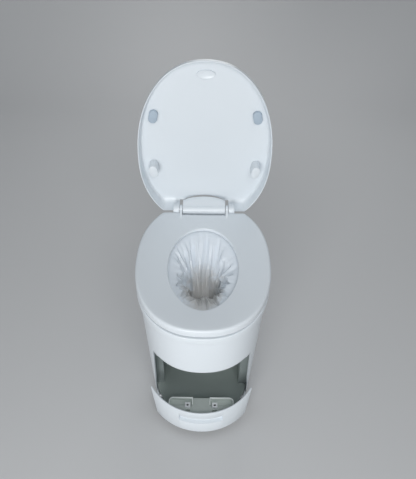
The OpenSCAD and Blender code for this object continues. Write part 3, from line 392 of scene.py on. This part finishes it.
def film_paint(name, clear):
    """Thin glossy film: bluish white at the sides, and warmer and greyer in a round patch of painted
    shade, where the layers gather deep in the middle of the bowl."""
    paint = bpy.data.materials.new(name)
    paint.use_nodes = True
    nodes, links = paint.node_tree.nodes, paint.node_tree.links
    shader = nodes["Principled BSDF"]
    place = nodes.new("ShaderNodeTexCoord")
    centred = nodes.new("ShaderNodeMapping")
    centred.vector_type = "TEXTURE"
    centred.inputs["Location"].default_value = shade_patch_middle
    centred.inputs["Scale"].default_value = shade_patch_reach
    patch = nodes.new("ShaderNodeTexGradient")
    # The patch has a ragged edge: its place is shifted by up to half of ragged, by the crease noise
    ragged = 0.05
    shifts, drift = nodes.new("ShaderNodeVectorMath"), nodes.new("ShaderNodeVectorMath")
    shifts.operation = "MULTIPLY_ADD"
    shifts.inputs[1].default_value = (ragged, ragged, ragged)
    shifts.inputs[2].default_value = (-ragged / 2, -ragged / 2, -ragged / 2)
    patch.gradient_type = "SPHERICAL"
    tones = nodes.new("ShaderNodeValToRGB")
    tones.color_ramp.elements[0].position = 0.02
    tones.color_ramp.elements[0].color = film_tone
    tones.color_ramp.elements[1].position = 0.34
    tones.color_ramp.elements[1].color = deep_shade_tone
    crease = nodes.new("ShaderNodeTexNoise")
    crease.inputs["Scale"].default_value = 48.0
    crease.inputs["Detail"].default_value = 3.0
    crease.inputs["Distortion"].default_value = 0.8
    bump = nodes.new("ShaderNodeBump")
    bump.inputs["Strength"].default_value = 0.35
    bump.inputs["Distance"].default_value = 0.002
    links.new(place.outputs["Object"], drift.inputs[0])
    links.new(crease.outputs["Color"], shifts.inputs[0])
    links.new(shifts.outputs["Vector"], drift.inputs[1])
    links.new(drift.outputs["Vector"], centred.inputs["Vector"])
    links.new(place.outputs["Object"], crease.inputs["Vector"])
    links.new(centred.outputs["Vector"], patch.inputs["Vector"])
    links.new(patch.outputs["Fac"], tones.inputs["Fac"])
    links.new(tones.outputs["Color"], shader.inputs["Base Color"])
    links.new(crease.outputs["Fac"], bump.inputs["Height"])
    links.new(bump.outputs["Normal"], shader.inputs["Normal"])
    shader.inputs["Roughness"].default_value = 0.13
    shader.inputs["Alpha"].default_value = clear
    return paint


bowl_film = film_paint("bowl film", 0.93)
pack_low, pack_high, pack_folds = 0.4606, 0.4704, 24
pack_rings = []
for even, odd, start_z, end_z in ((0.0325, 0.0305, pack_low, pack_high),
                                  (0.0096, 0.0116, pack_high, pack_low)):
    for i in range(pack_folds + 1):
        grow = even if i % 2 == 0 else odd
        pack_rings.append(at(hole_line(grow), mix(start_z, end_z, i / pack_folds)))
film_pack = loft("film pack", pack_rings, closed=True)
finished(film_pack, film_paint("packed film", 1.0), "body", ["film_pack"], smooth=20)

# Bowl film: the tube of thin glossy plastic that hangs from the cassette, gathers in long creases
# and goes flat between the rollers.
film_top, neck_z, flat_z, tail_z = 0.4880, 0.366, 0.347, 0.3035
film_count, film_rows = 720, 96
film_half_l, neck_half_w, neck_half_l, film_gap = 0.154, 0.046, 0.0006, 0.0045


def zigzag(turn):
    """A wave with straight sides and sharp crests."""
    return 2 / math.pi * math.asin(math.sin(turn))


def crinkle(turn, u):
    """Sharp pleats that run down and bend, and slanting facets at the sides, as a share of the
    radius. All of them fold inwards."""
    warp = turn + 0.11 * math.sin(2 * turn + 1.0) + 0.05 * math.sin(5 * turn + 4 * u)
    side = math.cos(turn) ** 2
    pleats = 0.070 * (zigzag(14 * warp + 0.9 * math.sin(3 * u)) - 1) * (1 - 0.5 * side)
    pleats += 0.042 * (zigzag(31 * warp - 1.9 * u + 1.3) - 1) * (1 - 0.5 * side)
    slant = 0.080 * (zigzag(5 * turn + 8.5 * u + 0.6) - 1)
    slant += 0.060 * (zigzag(-8 * turn + 13 * u + 1.9) - 1)
    slant += 0.018 * (zigzag(17 * turn + 21 * u) - 1)
    return (pleats + side * slant) * min(1.0, 12 * u) ** 0.6


def sway(x, u):
    """Shift of the gathered neck from front to back, so that it isn't one straight line."""
    shift = 0.0080 * zigzag(110 * x + 0.9) + 0.0035 * zigzag(330 * x + 2.0)
    return shift * math.sin(math.pi * min(1.0, max(0.0, (u - 0.40) / 0.68)))


rim_folds = ((0.0090, 0.4775), (0.0090, 0.4860), (0.0068, 0.4886))
film_rings = [at(hole_line(grow, film_count), z) for grow, z in rim_folds]
for k in range(film_rows + 1):
    u = k / film_rows
    half_w = mix(hole_half_w + film_gap, neck_half_w, u ** 0.75)
    half_l = mix(film_half_l + film_gap, neck_half_l, u ** 0.75)
    ring = []
    for i in range(film_count):
        turn = 2 * math.pi * i / film_count
        g = 1 + crinkle(turn, u)
        x = half_w * g * bow(math.cos(turn), 2 / hole_power)
        y = hole_mid + half_l * g * bow(math.sin(turn), 2 / hole_power) + sway(x, u)
        ring.append((x, y, mix(film_top, neck_z, u)))
    film_rings.append(ring)
neck = film_rings[-1]
for low_z in (flat_z, tail_z):
    film_rings.append([(x, hole_mid + (y - hole_mid) * 0.5, low_z) for x, y, z in neck])
film_mesh = bpy.data.meshes.new("bowl film")
film_points = [p for ring in film_rings for p in ring]
film_faces = []
for k in range(len(film_rings) - 1):
    for i in range(film_count):
        j = (i + 1) % film_count
        film_faces.append((k * film_count + i, (k + 1) * film_count + i, (k + 1) * film_count + j,
                           k * film_count + j))
film_mesh.from_pydata(film_points, [], film_faces)
film = piece("bowl_film", film_mesh)
film.data.polygons.foreach_set("use_smooth", [True] * len(film.data.polygons))
film.data.materials.append(bowl_film)
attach(film, "body")
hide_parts("liner_film")

# Return springs: coils of steel wire round the lifting rods, between the cross bar and brackets.
rod_x, rod_y, spring_low = 0.1295, 0.060, 0.3444


def coil_tree(name):
    tree = bpy.data.node_groups.new(name, "GeometryNodeTree")
    side = tree.interface
    sizes = {"Turns": 7.0, "Coil Radius": 0.0092, "Wire Radius": 0.0009, "Length": 0.0595}
    for label, value in sizes.items():
        side.new_socket(label, in_out="INPUT", socket_type="NodeSocketFloat").default_value = value
    side.new_socket("Wire", in_out="INPUT", socket_type="NodeSocketMaterial")
    side.new_socket("Geometry", in_out="OUTPUT", socket_type="NodeSocketGeometry")
    nodes, links = tree.nodes, tree.links
    start, end = nodes.new("NodeGroupInput"), nodes.new("NodeGroupOutput")
    spiral, wire = nodes.new("GeometryNodeCurveSpiral"), nodes.new("GeometryNodeCurvePrimitiveCircle")
    sweep_wire, coat = nodes.new("GeometryNodeCurveToMesh"), nodes.new("GeometryNodeSetMaterial")
    pair, stand = nodes.new("GeometryNodeMeshLine"), nodes.new("GeometryNodeInstanceOnPoints")
    real = nodes.new("GeometryNodeRealizeInstances")
    spiral.inputs["Resolution"].default_value = 40
    wire.inputs["Resolution"].default_value = 10
    links.new(start.outputs["Turns"], spiral.inputs["Rotations"])
    links.new(start.outputs["Coil Radius"], spiral.inputs["Start Radius"])
    links.new(start.outputs["Coil Radius"], spiral.inputs["End Radius"])
    links.new(start.outputs["Length"], spiral.inputs["Height"])
    links.new(start.outputs["Wire Radius"], wire.inputs["Radius"])
    links.new(spiral.outputs["Curve"], sweep_wire.inputs["Curve"])
    links.new(wire.outputs["Curve"], sweep_wire.inputs["Profile Curve"])
    sweep_wire.inputs["Fill Caps"].default_value = True
    pair.mode, pair.count_mode = "END_POINTS", "TOTAL"
    pair.inputs["Count"].default_value = 2
    pair.inputs["Start Location"].default_value = (-rod_x, rod_y, spring_low)
    pair.inputs["Offset"].default_value = (rod_x, rod_y, spring_low)
    links.new(pair.outputs["Mesh"], stand.inputs["Points"])
    links.new(sweep_wire.outputs["Mesh"], stand.inputs["Instance"])
    links.new(stand.outputs["Instances"], real.inputs["Geometry"])
    links.new(real.outputs["Geometry"], coat.inputs["Geometry"])
    links.new(start.outputs["Wire"], coat.inputs["Material"])
    links.new(coat.outputs["Geometry"], end.inputs["Geometry"])
    return tree


def grown(name, tree, values, seed=None):
    """Runs a node tree on a piece, keeps the mesh it makes and drops the modifier."""
    obj = piece(name, seed if seed is not None else bpy.data.meshes.new(name))
    step = obj.modifiers.new("growth", "NODES")
    step.node_group = tree
    for item in tree.interface.items_tree:
        if item.in_out == "INPUT" and item.name in values:
            step[item.identifier] = values[item.name]
    settled(obj)
    obj.data.polygons.foreach_set("use_smooth", [True] * len(obj.data.polygons))
    return obj


springs = grown("return_coils", coil_tree("wire coil"), {"Wire": bare_steel})
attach(springs, "body")
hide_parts("return_springs")
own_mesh(springs)

# Pedal: a curved white front plate with a toe recess, bevelled round its edge. It is fixed to a
# grey-green carrier with two open pockets, and two white blocks take the screws.
pedal_r, pedal_mid, pedal_low, pedal_high = 0.1775, -0.0605, 0.026, 0.138
pedal_edge, outer_r, inner_r = 0.0015, pedal_r - 0.0015, pedal_r - 0.0035
wing, wing_lean, pedal_steps = pedal_r * math.sin(math.radians(60.5)), 0.14, 80
section = []
for r, z, turns in ((outer_r, pedal_low + pedal_edge, range(-90, 1, 30)),
                    (outer_r, pedal_high - pedal_edge, range(0, 91, 30)),
                    (inner_r, pedal_high - pedal_edge, range(90, 181, 30)),
                    (inner_r, pedal_low + pedal_edge, range(180, 271, 30))):
    section += arc(r, z, pedal_edge, turns)
slices = []
for i in range(2 * pedal_steps + 1):
    share = i / pedal_steps - 1
    ring = []
    for r, z in section:
        reach = math.asin((wing - (pedal_high - z) * wing_lean) / pedal_r)
        ring.append((r * math.sin(share * reach), pedal_mid - r * math.cos(share * reach), z))
    slices.append(ring)
plate = loft("pedal", slices)
toe_half, toe_low, toe_high, toe_depth, toe_wall = 0.066, 0.078, 0.109, 0.012, 0.004


def pedal_arc(r, reach):
    """An arc of the plate's own centre, from -reach to reach in X."""
    return [(x, pedal_mid - math.sqrt(r * r - x * x)) for x in (reach * i / 14 for i in range(-14, 15))]


def span(side, near, out):
    """The low and high X of a stretch beside the middle, on the left (-1) or the right (1)."""
    return sorted((side * near, side * out))


toe_front = pedal_arc(pedal_r - 0.0004, toe_half + toe_wall)
toe_back = pedal_arc(pedal_r - toe_depth - toe_wall, toe_half + toe_wall)
joined(plate, prism("pocket", toe_front + toe_back[::-1], toe_low - toe_wall, toe_high + toe_wall), "UNION")
recess = [(-toe_half, -far), (toe_half, -far)] + pedal_arc(pedal_r - toe_depth, toe_half)[::-1]
joined(plate, prism("recess", recess, toe_low, toe_high))
finished(plate, white_gloss, "pedal", ["pedal_plate"], edge=0.0007)


def soft_corner(x, y, r, start, steps=8):
    """Points of a quarter turn round x, y, from the angle start."""
    return arc(x, y, r, [start + 90 * i / steps for i in range(steps + 1)])


carrier_r, carrier_back, carrier_corner = pedal_r - 0.0053, -0.168, 0.013
carrier_low, carrier_high, shelf_z, pocket_low, over = 0.096, 0.114, 0.108, 0.099, 0.2
carrier_line = [(carrier_r * math.sin(math.radians(t)), pedal_mid - carrier_r * math.cos(math.radians(t)))
                for t in range(-35, 36, 2)]
side_x = carrier_line[-1][0]
carrier_line += soft_corner(side_x - carrier_corner, carrier_back - carrier_corner, carrier_corner, 0)
carrier_line += soft_corner(-side_x + carrier_corner, carrier_back - carrier_corner, carrier_corner, 90)
carrier_paint = moulding("carrier plastic", grey_green, shade=0.95, gloss=(0.36, 0.46), grain=500.0,
                         depth=0.05)
# Painted highlight: the tops of the pocket rims are lightened, as where they catch the light
painted_light_tone(carrier_paint, "Object", "Z", 0.1105, 0.1130, (0.90, 0.95, 0.94, 1.0))
carrier = prism("carrier", carrier_line, carrier_low, carrier_high)
toe_gap = 0.0005
room_half = toe_half + toe_wall + toe_gap
recess_room = pedal_arc(pedal_r - toe_depth - toe_wall - toe_gap, room_half)
joined(carrier, prism("recess room", [(-room_half, -far), (room_half, -far)] + recess_room[::-1], 0.0, far))
joined(carrier, box("middle", -0.0255, 0.0255, -far, 0.0, shelf_z, over))
joined(carrier, box("front", -0.2, 0.2, -far, -0.1925, shelf_z, over))
pocket_inner, pocket_outer, pocket_front, pocket_back = 0.028, side_x - 0.0025, -0.193, -0.1705
outer_corner, inner_corner = 0.011, 0.003
pocket = [(pocket_inner, pocket_front), (pocket_outer, pocket_front)]
pocket += soft_corner(pocket_outer - outer_corner, pocket_back - outer_corner, outer_corner, 0)
pocket += soft_corner(pocket_inner + inner_corner, -0.1735, inner_corner, 90, 3)
for side in (-1, 1):
    joined(carrier, prism("pocket", [(side * x, y) for x, y in pocket], pocket_low, over))
    joined(carrier, box("slot", *span(side, 0.0335, 0.0485), -0.214, -0.207, pocket_low, over))
    joined(carrier, box("boss", *span(side, 0.0330, 0.0490), -0.194, -0.1855, 0.0975, shelf_z), "UNION")
finished(carrier, carrier_paint, "pedal", ["pedal_carrier"], edge=0.0007)

block_x, block_y, block_hole_r = 0.041, -0.194, 0.0036
# Painted light: the blocks get a lighter white than the other white mouldings, making up for the shade the
# plate casts on them
lit_block_white = moulding("block plastic", (0.90, 0.93, 0.95, 1.0), shade=0.99, gloss=(0.30, 0.34))
for side, hand in ((-1, "left"), (1, "right")):
    block = box(f"block_{hand}", *span(side, 0.0325, 0.0495), block_y - 0.0085, block_y + 0.0080, shelf_z,
                0.1155)
    hole = [(side * block_x + block_hole_r * math.cos(t * math.pi / 16),
             block_y + block_hole_r * math.sin(t * math.pi / 16)) for t in range(32)]
    joined(block, prism("screw room", hole, 0.1085, over))
    finished(block, lit_block_white, "pedal", ["carrier_blocks"], edge=0.0007)

# Screws: hexagon heads on a flange, each set stood on its own places by one node tree. Heads point
# down under the floor plate, the collar and the hinge, and up on the deck and the carrier.
def screw_tree(name):
    tree = bpy.data.node_groups.new(name, "GeometryNodeTree")
    side = tree.interface
    side.new_socket("Places", in_out="INPUT", socket_type="NodeSocketGeometry")
    sizes = {"Radius": 0.002, "Length": 0.010, "Head Radius": 0.004, "Head Height": 0.002, "Turn": 0.0}
    for label, value in sizes.items():
        side.new_socket(label, in_out="INPUT", socket_type="NodeSocketFloat").default_value = value
    side.new_socket("Steel", in_out="INPUT", socket_type="NodeSocketMaterial")
    side.new_socket("Geometry", in_out="OUTPUT", socket_type="NodeSocketGeometry")
    nodes, links = tree.nodes, tree.links
    start, end = nodes.new("NodeGroupInput"), nodes.new("NodeGroupOutput")
    whole = nodes.new("GeometryNodeJoinGeometry")
    # Sides, width, height, and where the middle of each part stands as a share of its height
    for sides, width, wide, height, tall, lift in ((20, "Radius", 1.0, "Length", 1.0, -0.5),
                                                   (28, "Head Radius", 1.0, "Head Height", 0.35, 0.175),
                                                   (6, "Head Radius", 0.8, "Head Height", 1.0, 0.5)):
        part, shift = nodes.new("GeometryNodeMeshCylinder"), nodes.new("GeometryNodeTransform")
        across, up, middle = (nodes.new("ShaderNodeMath") for _ in range(3))
        place = nodes.new("ShaderNodeCombineXYZ")
        part.inputs["Vertices"].default_value = sides
        for sum_node, size, share in ((across, width, wide), (up, height, tall), (middle, height, lift)):
            sum_node.operation = "MULTIPLY"
            sum_node.inputs[1].default_value = share
            links.new(start.outputs[size], sum_node.inputs[0])
        links.new(across.outputs["Value"], part.inputs["Radius"])
        links.new(up.outputs["Value"], part.inputs["Depth"])
        links.new(middle.outputs["Value"], place.inputs["Z"])
        links.new(part.outputs["Mesh"], shift.inputs["Geometry"])
        links.new(place.outputs["Vector"], shift.inputs["Translation"])
        links.new(shift.outputs["Geometry"], whole.inputs["Geometry"])
    lean_angle, to_turn = nodes.new("ShaderNodeCombineXYZ"), nodes.new("FunctionNodeEulerToRotation")
    stand, real = nodes.new("GeometryNodeInstanceOnPoints"), nodes.new("GeometryNodeRealizeInstances")
    coat = nodes.new("GeometryNodeSetMaterial")
    links.new(start.outputs["Turn"], lean_angle.inputs["X"])
    links.new(lean_angle.outputs["Vector"], to_turn.inputs["Euler"])
    links.new(start.outputs["Places"], stand.inputs["Points"])
    links.new(whole.outputs["Geometry"], stand.inputs["Instance"])
    links.new(to_turn.outputs["Rotation"], stand.inputs["Rotation"])
    links.new(stand.outputs["Instances"], real.inputs["Geometry"])
    links.new(real.outputs["Geometry"], coat.inputs["Geometry"])
    links.new(start.outputs["Steel"], coat.inputs["Material"])
    links.new(coat.outputs["Geometry"], end.inputs["Geometry"])
    return tree


screw_kit = screw_tree("screw")
# Painted shade: the screws in the carrier blocks are steel darkened to stand for the shade inside the blocks'
# holes
shade_dark_steel = moulding("steel darkened as shade", (0.05, 0.05, 0.055, 1.0), shade=0.8, gloss=(0.40, 0.50),
                       grain=1200.0, depth=0.05, cloud=40.0, metal=0.6)
# x is that of the screws on the right, and z is the height at which the heads meet the shanks
for node, body, x, ys, z, radius, length, head_radius, head_height, turn in (
        ("base_screws", "body", 0.106, (-0.118, -0.102), 0.003, 0.002, 0.0125, 0.0036, 0.0015, math.pi),
        ("collar_screws", "body", 0.1303, (-0.0511, 0.0851), 0.450, 0.002, 0.010, 0.004, 0.002, math.pi),
        ("frame_screws", "body", 0.084, (-0.020, 0.0445), 0.319, 0.002, 0.008, 0.0038, 0.002, 0.0),
        ("hinge_screws", "body", 0.0405, (0.264,), 0.454, 0.0025, 0.036, 0.0045, 0.003, math.pi),
        ("carrier_screws", "pedal", block_x, (block_y,), 0.110, 0.002, 0.002, 0.0033, 0.002, 0.0)):
    seed = bpy.data.meshes.new(node)
    seed.from_pydata([(side * x, y, z) for side in (-1, 1) for y in ys], [], [])
    screws = grown(f"{node}_set", screw_kit, {"Radius": radius, "Length": length, "Head Radius": head_radius,
                                              "Head Height": head_height, "Turn": turn,
                                              "Steel": shade_dark_steel if body == "pedal" else bare_steel}, seed)
    screws.data.set_sharp_from_angle(angle=math.radians(sharp_from))
    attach(screws, body)
    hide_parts(node)

# Hinge: a fixed white block with a rounded front edge, between the ears of the seat. The lid's
# lugs sit outside the ears, and one steel pin runs through all of them.
hinge_y, hinge_z, knuckle_r = 0.252, 0.506, 0.0135
hinge_half, hinge_top, hinge_steps, arch_rise, arch_steps = 0.0645, hinge_z + knuckle_r, 40, 0.016, 12


def knuckle(turns):
    return arc(hinge_y, hinge_z, knuckle_r, turns)


def block_slice(x):
    """Side outline of the block at x: round in front, rising to an arched back edge."""
    back = min(y for px, y in collar_line(collar_r) if y > 0.2 and abs(px - x) < 0.0035)
    line = [(hinge_y - knuckle_r, collar_top)] + knuckle(range(180, 89, -9))
    lift = arch_rise * (1 - 2 / 3 * (x / hinge_half) ** 2)
    for step in range(1, arch_steps + 1):
        y = mix(hinge_y, back, step / arch_steps)
        slope = arch_rise * (y - hinge_y) / (collar_back - hinge_y)
        line.append((y, hinge_top + (slope ** -4 + lift ** -4) ** -0.25))
    line.append((back, collar_top))
    return [(x, y, z) for y, z in line]


block_slices = [block_slice(mix(-hinge_half, hinge_half, i / hinge_steps)) for i in range(hinge_steps + 1)]
hinge_block = loft("hinge block", block_slices)
finished(hinge_block, white_gloss, "body", ["hinge_block"], edge=0.0012, smooth=30)

# Seat: a thin-walled white moulding, dished towards the oval hole, with a rounded outer edge and
# two ears that sit on the hinge pin.
seat_front, seat_back, seat_cut, seat_top, seat_low = 0.209, 0.288, 0.237, 0.505, 0.481
seat_hole_half_w, seat_hole_power = 0.0980, 1.90


def seat_line(inset):
    return outline(rim_half_w - inset, seat_front - inset, seat_back - inset, rim_mid, rim_power, rim_power,
                   seat_cut)


def seat_hole(grow):
    return outline(seat_hole_half_w + grow, hole_front + grow, hole_back + grow, hole_mid, seat_hole_power,
                   hole_power)


def blend(line_a, line_b, u):
    return [(mix(p[0], q[0], u), mix(p[1], q[1], u)) for p, q in zip(line_a, line_b)]


round_r, edge_r, round_steps, seat_dish, dish_steps = 0.0065, 0.0030, 8, 0.0040, 14
rings = [at(seat_line(0.0012), seat_low), at(seat_line(0), seat_low + 0.0014)]
for step in range(round_steps + 1):
    a = math.radians(90 * step / round_steps)
    rings.append(at(seat_line(round_r * (1 - math.cos(a))), seat_top - round_r * (1 - math.sin(a))))
inner_edge, outer_edge = seat_hole(edge_r), seat_line(round_r)
for step in range(1, dish_steps + 1):
    v = step / dish_steps
    rings.append(at(blend(outer_edge, inner_edge, v), seat_top - seat_dish * v ** 1.5))
for step in range(1, round_steps + 1):
    a = math.radians(90 * step / round_steps)
    rings.append(at(seat_hole(edge_r * (1 - math.sin(a))), seat_top - seat_dish - edge_r * (1 - math.cos(a))))
rings += [at(seat_hole(grow), z) for grow, z in ((0.0, 0.4920), (0.0012, 0.4910), (0.0035, 0.4910),
                                                 (0.0045, 0.4918))]
rings += [at(blend(inner_edge, outer_edge, s), mix(seat_top - 0.0128, seat_top - 0.0055, s))
          for s in (0.3, 0.6, 0.96)]
rings += [at(seat_line(0.006), seat_top - 0.011), at(seat_line(0.006), seat_low)]
seat = loft("seat", rings, closed=True)
joined(seat, box("notch", -0.0698, 0.0698, 0.2275, far, 0.3, 0.7))
joined(seat, box("notch wall", -0.0712, 0.0712, 0.2235, 0.2275, seat_low + 0.002, seat_top - 0.0012), "UNION")
ear_front = 0.2155
ear = knuckle(range(-90, 151, 10)) + [(ear_front, seat_top - 0.0006), (ear_front, hinge_z - knuckle_r)]
for side in (-1, 1):
    joined(seat, prism("ear", ear, *span(side, 0.066, 0.0735), "X"), "UNION")
finished(seat, white_gloss, "seat", ["seat_ring"], edge=0.0008, smooth=30)

# Lid: a thin domed white pan that stands open, leaning back. Its rim is a narrow flat edge, it is
# notched for the hinge block, and two lugs carry the pin.
lean, rim_z, lid_cut, lid_wall, back_r = math.radians(92), 0.508, 0.260, 0.003, 0.026
lid_half_w, lid_front, lid_back, lid_mid = 0.1885, 0.2075, 0.309, 0.074
front_deep, back_deep, deep_start, deep_run = 0.0175, 0.044, 0.209, 0.469
open_turn = Matrix.Translation((0, hinge_y, hinge_z)) @ Matrix.Rotation(-lean, 4, "X") \
    @ Matrix.Translation((0, -hinge_y, -hinge_z))


def lid_line(inset):
    return outline(lid_half_w - inset, lid_front - inset, lid_back - inset, lid_mid, 2.15, 2.2,
                   lid_cut - inset)


def lid_height(y, w):
    """Outer face of the pan above its rim, w further in, with the rounded back edge."""
    deep = y - lid_cut + back_r
    r = back_r - w
    fall = w + (r - math.sqrt(max(r * r - deep * deep, 0.0)) if deep > 0 else 0.0)
    return rim_z + mix(front_deep, back_deep, (y + deep_start) / deep_run) - fall


def lid_face(share, w, drop=0.0):
    ring = []
    for px, py in lid_line(0.0):
        y = mix(lid_mid, py, share)
        ring.append((px * share, y, lid_height(y, w) + 0.006 * (1 - share * share) - drop))
    return ring


def lid_side(w, inset, drop):
    return [(x, y, max(lid_height(y, w) - drop, rim_z + 0.006)) for x, y in lid_line(inset)]


def turned(obj):
    obj.data.transform(open_turn)
    return obj


shares = [0.02, 0.1, 0.2, 0.3, 0.4, 0.5, 0.6, 0.7, 0.78, 0.84, 0.88, 0.91, 0.935, 0.955]
inside = [lid_face(s, lid_wall) for s in shares]
inside += [lid_side(lid_wall, lid_wall + 0.0045, 0.0012), lid_side(lid_wall, lid_wall + 0.0018, 0.0045)]
lip = [at(lid_line(inset), rim_z + lift) for inset, lift in ((lid_wall, 0.001), (lid_wall - 0.0008, 0.0),
                                                            (0.0008, 0.0), (0.0, 0.001))]
outside = [lid_side(0, 0.0, 0.009), lid_side(0, 0.0012, 0.0045), lid_side(0, 0.0045, 0.0012)]
outside += [lid_face(s, 0, 0.0004 if s > 0.95 else 0.0) for s in reversed(shares)]
lid = loft("lid", inside + lip + outside)
notch_half, notch_y, notch_rise, notch_end = 0.075, 0.2455, 0.0165, 0.6
notch = [(-notch_half, notch_end), (-notch_half, notch_y)]
notch += [(0.062 * i / 12, notch_y - notch_rise * (1 - (i / 12) ** 2)) for i in range(-12, 13)]
notch += [(notch_half, notch_y), (notch_half, notch_end)]
joined(lid, prism("hinge notch", notch, 0.3, 0.8))
arm_line = [(hinge_y - knuckle_r, hinge_z), (hinge_y, hinge_z), (hinge_y, rim_z + 0.012),
            (hinge_y - knuckle_r, rim_z + 0.012)]
for side in (-1, 1):
    lug_span = span(side, notch_half, 0.0925)
    round_lug = prism("lug", knuckle(range(0, 360, 10)), *lug_span, "X")
    joined(round_lug, prism("arm", arm_line, *lug_span, "X"), "UNION")
    joined(lid, round_lug, "UNION")
turned(lid)
finished(lid, white_gloss, "lid", ["lid_shell"], edge=0.0007, smooth=32)

# Lid pads: soft blue-grey ovals near the top and taller white buffers near the hinge, which rest
# on the seat when the lid is down. A plain oval plate sits near the front edge.
pad_blue = moulding("soft pad", (0.40, 0.48, 0.56, 1.0), gloss=(0.5, 0.6), grain=500.0, depth=0.08)
pad_width, pad_length, pad_count = 0.024, 0.038, 64


def oval_pad(name, x, y, lean_deg, low, high):
    """A pad with straight sides and round ends, turned by lean_deg, with a soft edge at low."""
    line = []
    spin = math.radians(lean_deg)
    for i in range(pad_count):
        turn = 2 * math.pi * i / pad_count
        across, along = math.cos(turn), math.sin(turn)
        px, py = pad_width / 2 * across, pad_width / 2 * along
        py += math.copysign((pad_length - pad_width) / 2, along) if abs(along) > 1e-9 else 0.0
        line.append((x + px * math.cos(spin) - py * math.sin(spin),
                     y + px * math.sin(spin) + py * math.cos(spin)))
    middle = (sum(p[0] for p in line) / pad_count, sum(p[1] for p in line) / pad_count)
    soft = [at(blend([middle] * pad_count, line, k), low + d)
            for k, d in ((0.86, 0.0), (0.94, 0.0006), (0.985, 0.0018), (1.0, 0.0035))]
    return turned(loft(name, soft + [at(line, high)]))


for side, hand in ((-1, "left"), (1, "right")):
    upper = oval_pad(f"upper_pad_{hand}", side * 0.141, -0.045, -12 * side, 0.5237, 0.5315)
    finished(upper, pad_blue, "lid", ["lid_upper_pads"])
    lower = oval_pad(f"lower_buffer_{hand}", side * 0.147, 0.118, 12 * side, 0.5057, 0.5412)
    finished(lower, white_gloss, "lid", ["lid_lower_buffers"])
badge_y, badge_half_w, badge_half_l, badge_top = -0.166, 0.0235, 0.01175, 0.5251
badge_line = [(badge_half_w * math.cos(t * math.pi / 32), badge_y + badge_half_l * math.sin(t * math.pi / 32))
              for t in range(pad_count)]
badge = loft("oval", [at(blend([(0.0, badge_y)] * pad_count, badge_line, k), badge_top - 0.0026 + d)
                      for k, d in ((0.90, 0.0006), (0.97, 0.0), (1.0, 0.0008))] + [at(badge_line, badge_top)])
turned(badge)
finished(badge, white_gloss, "lid", ["lid_badge"])
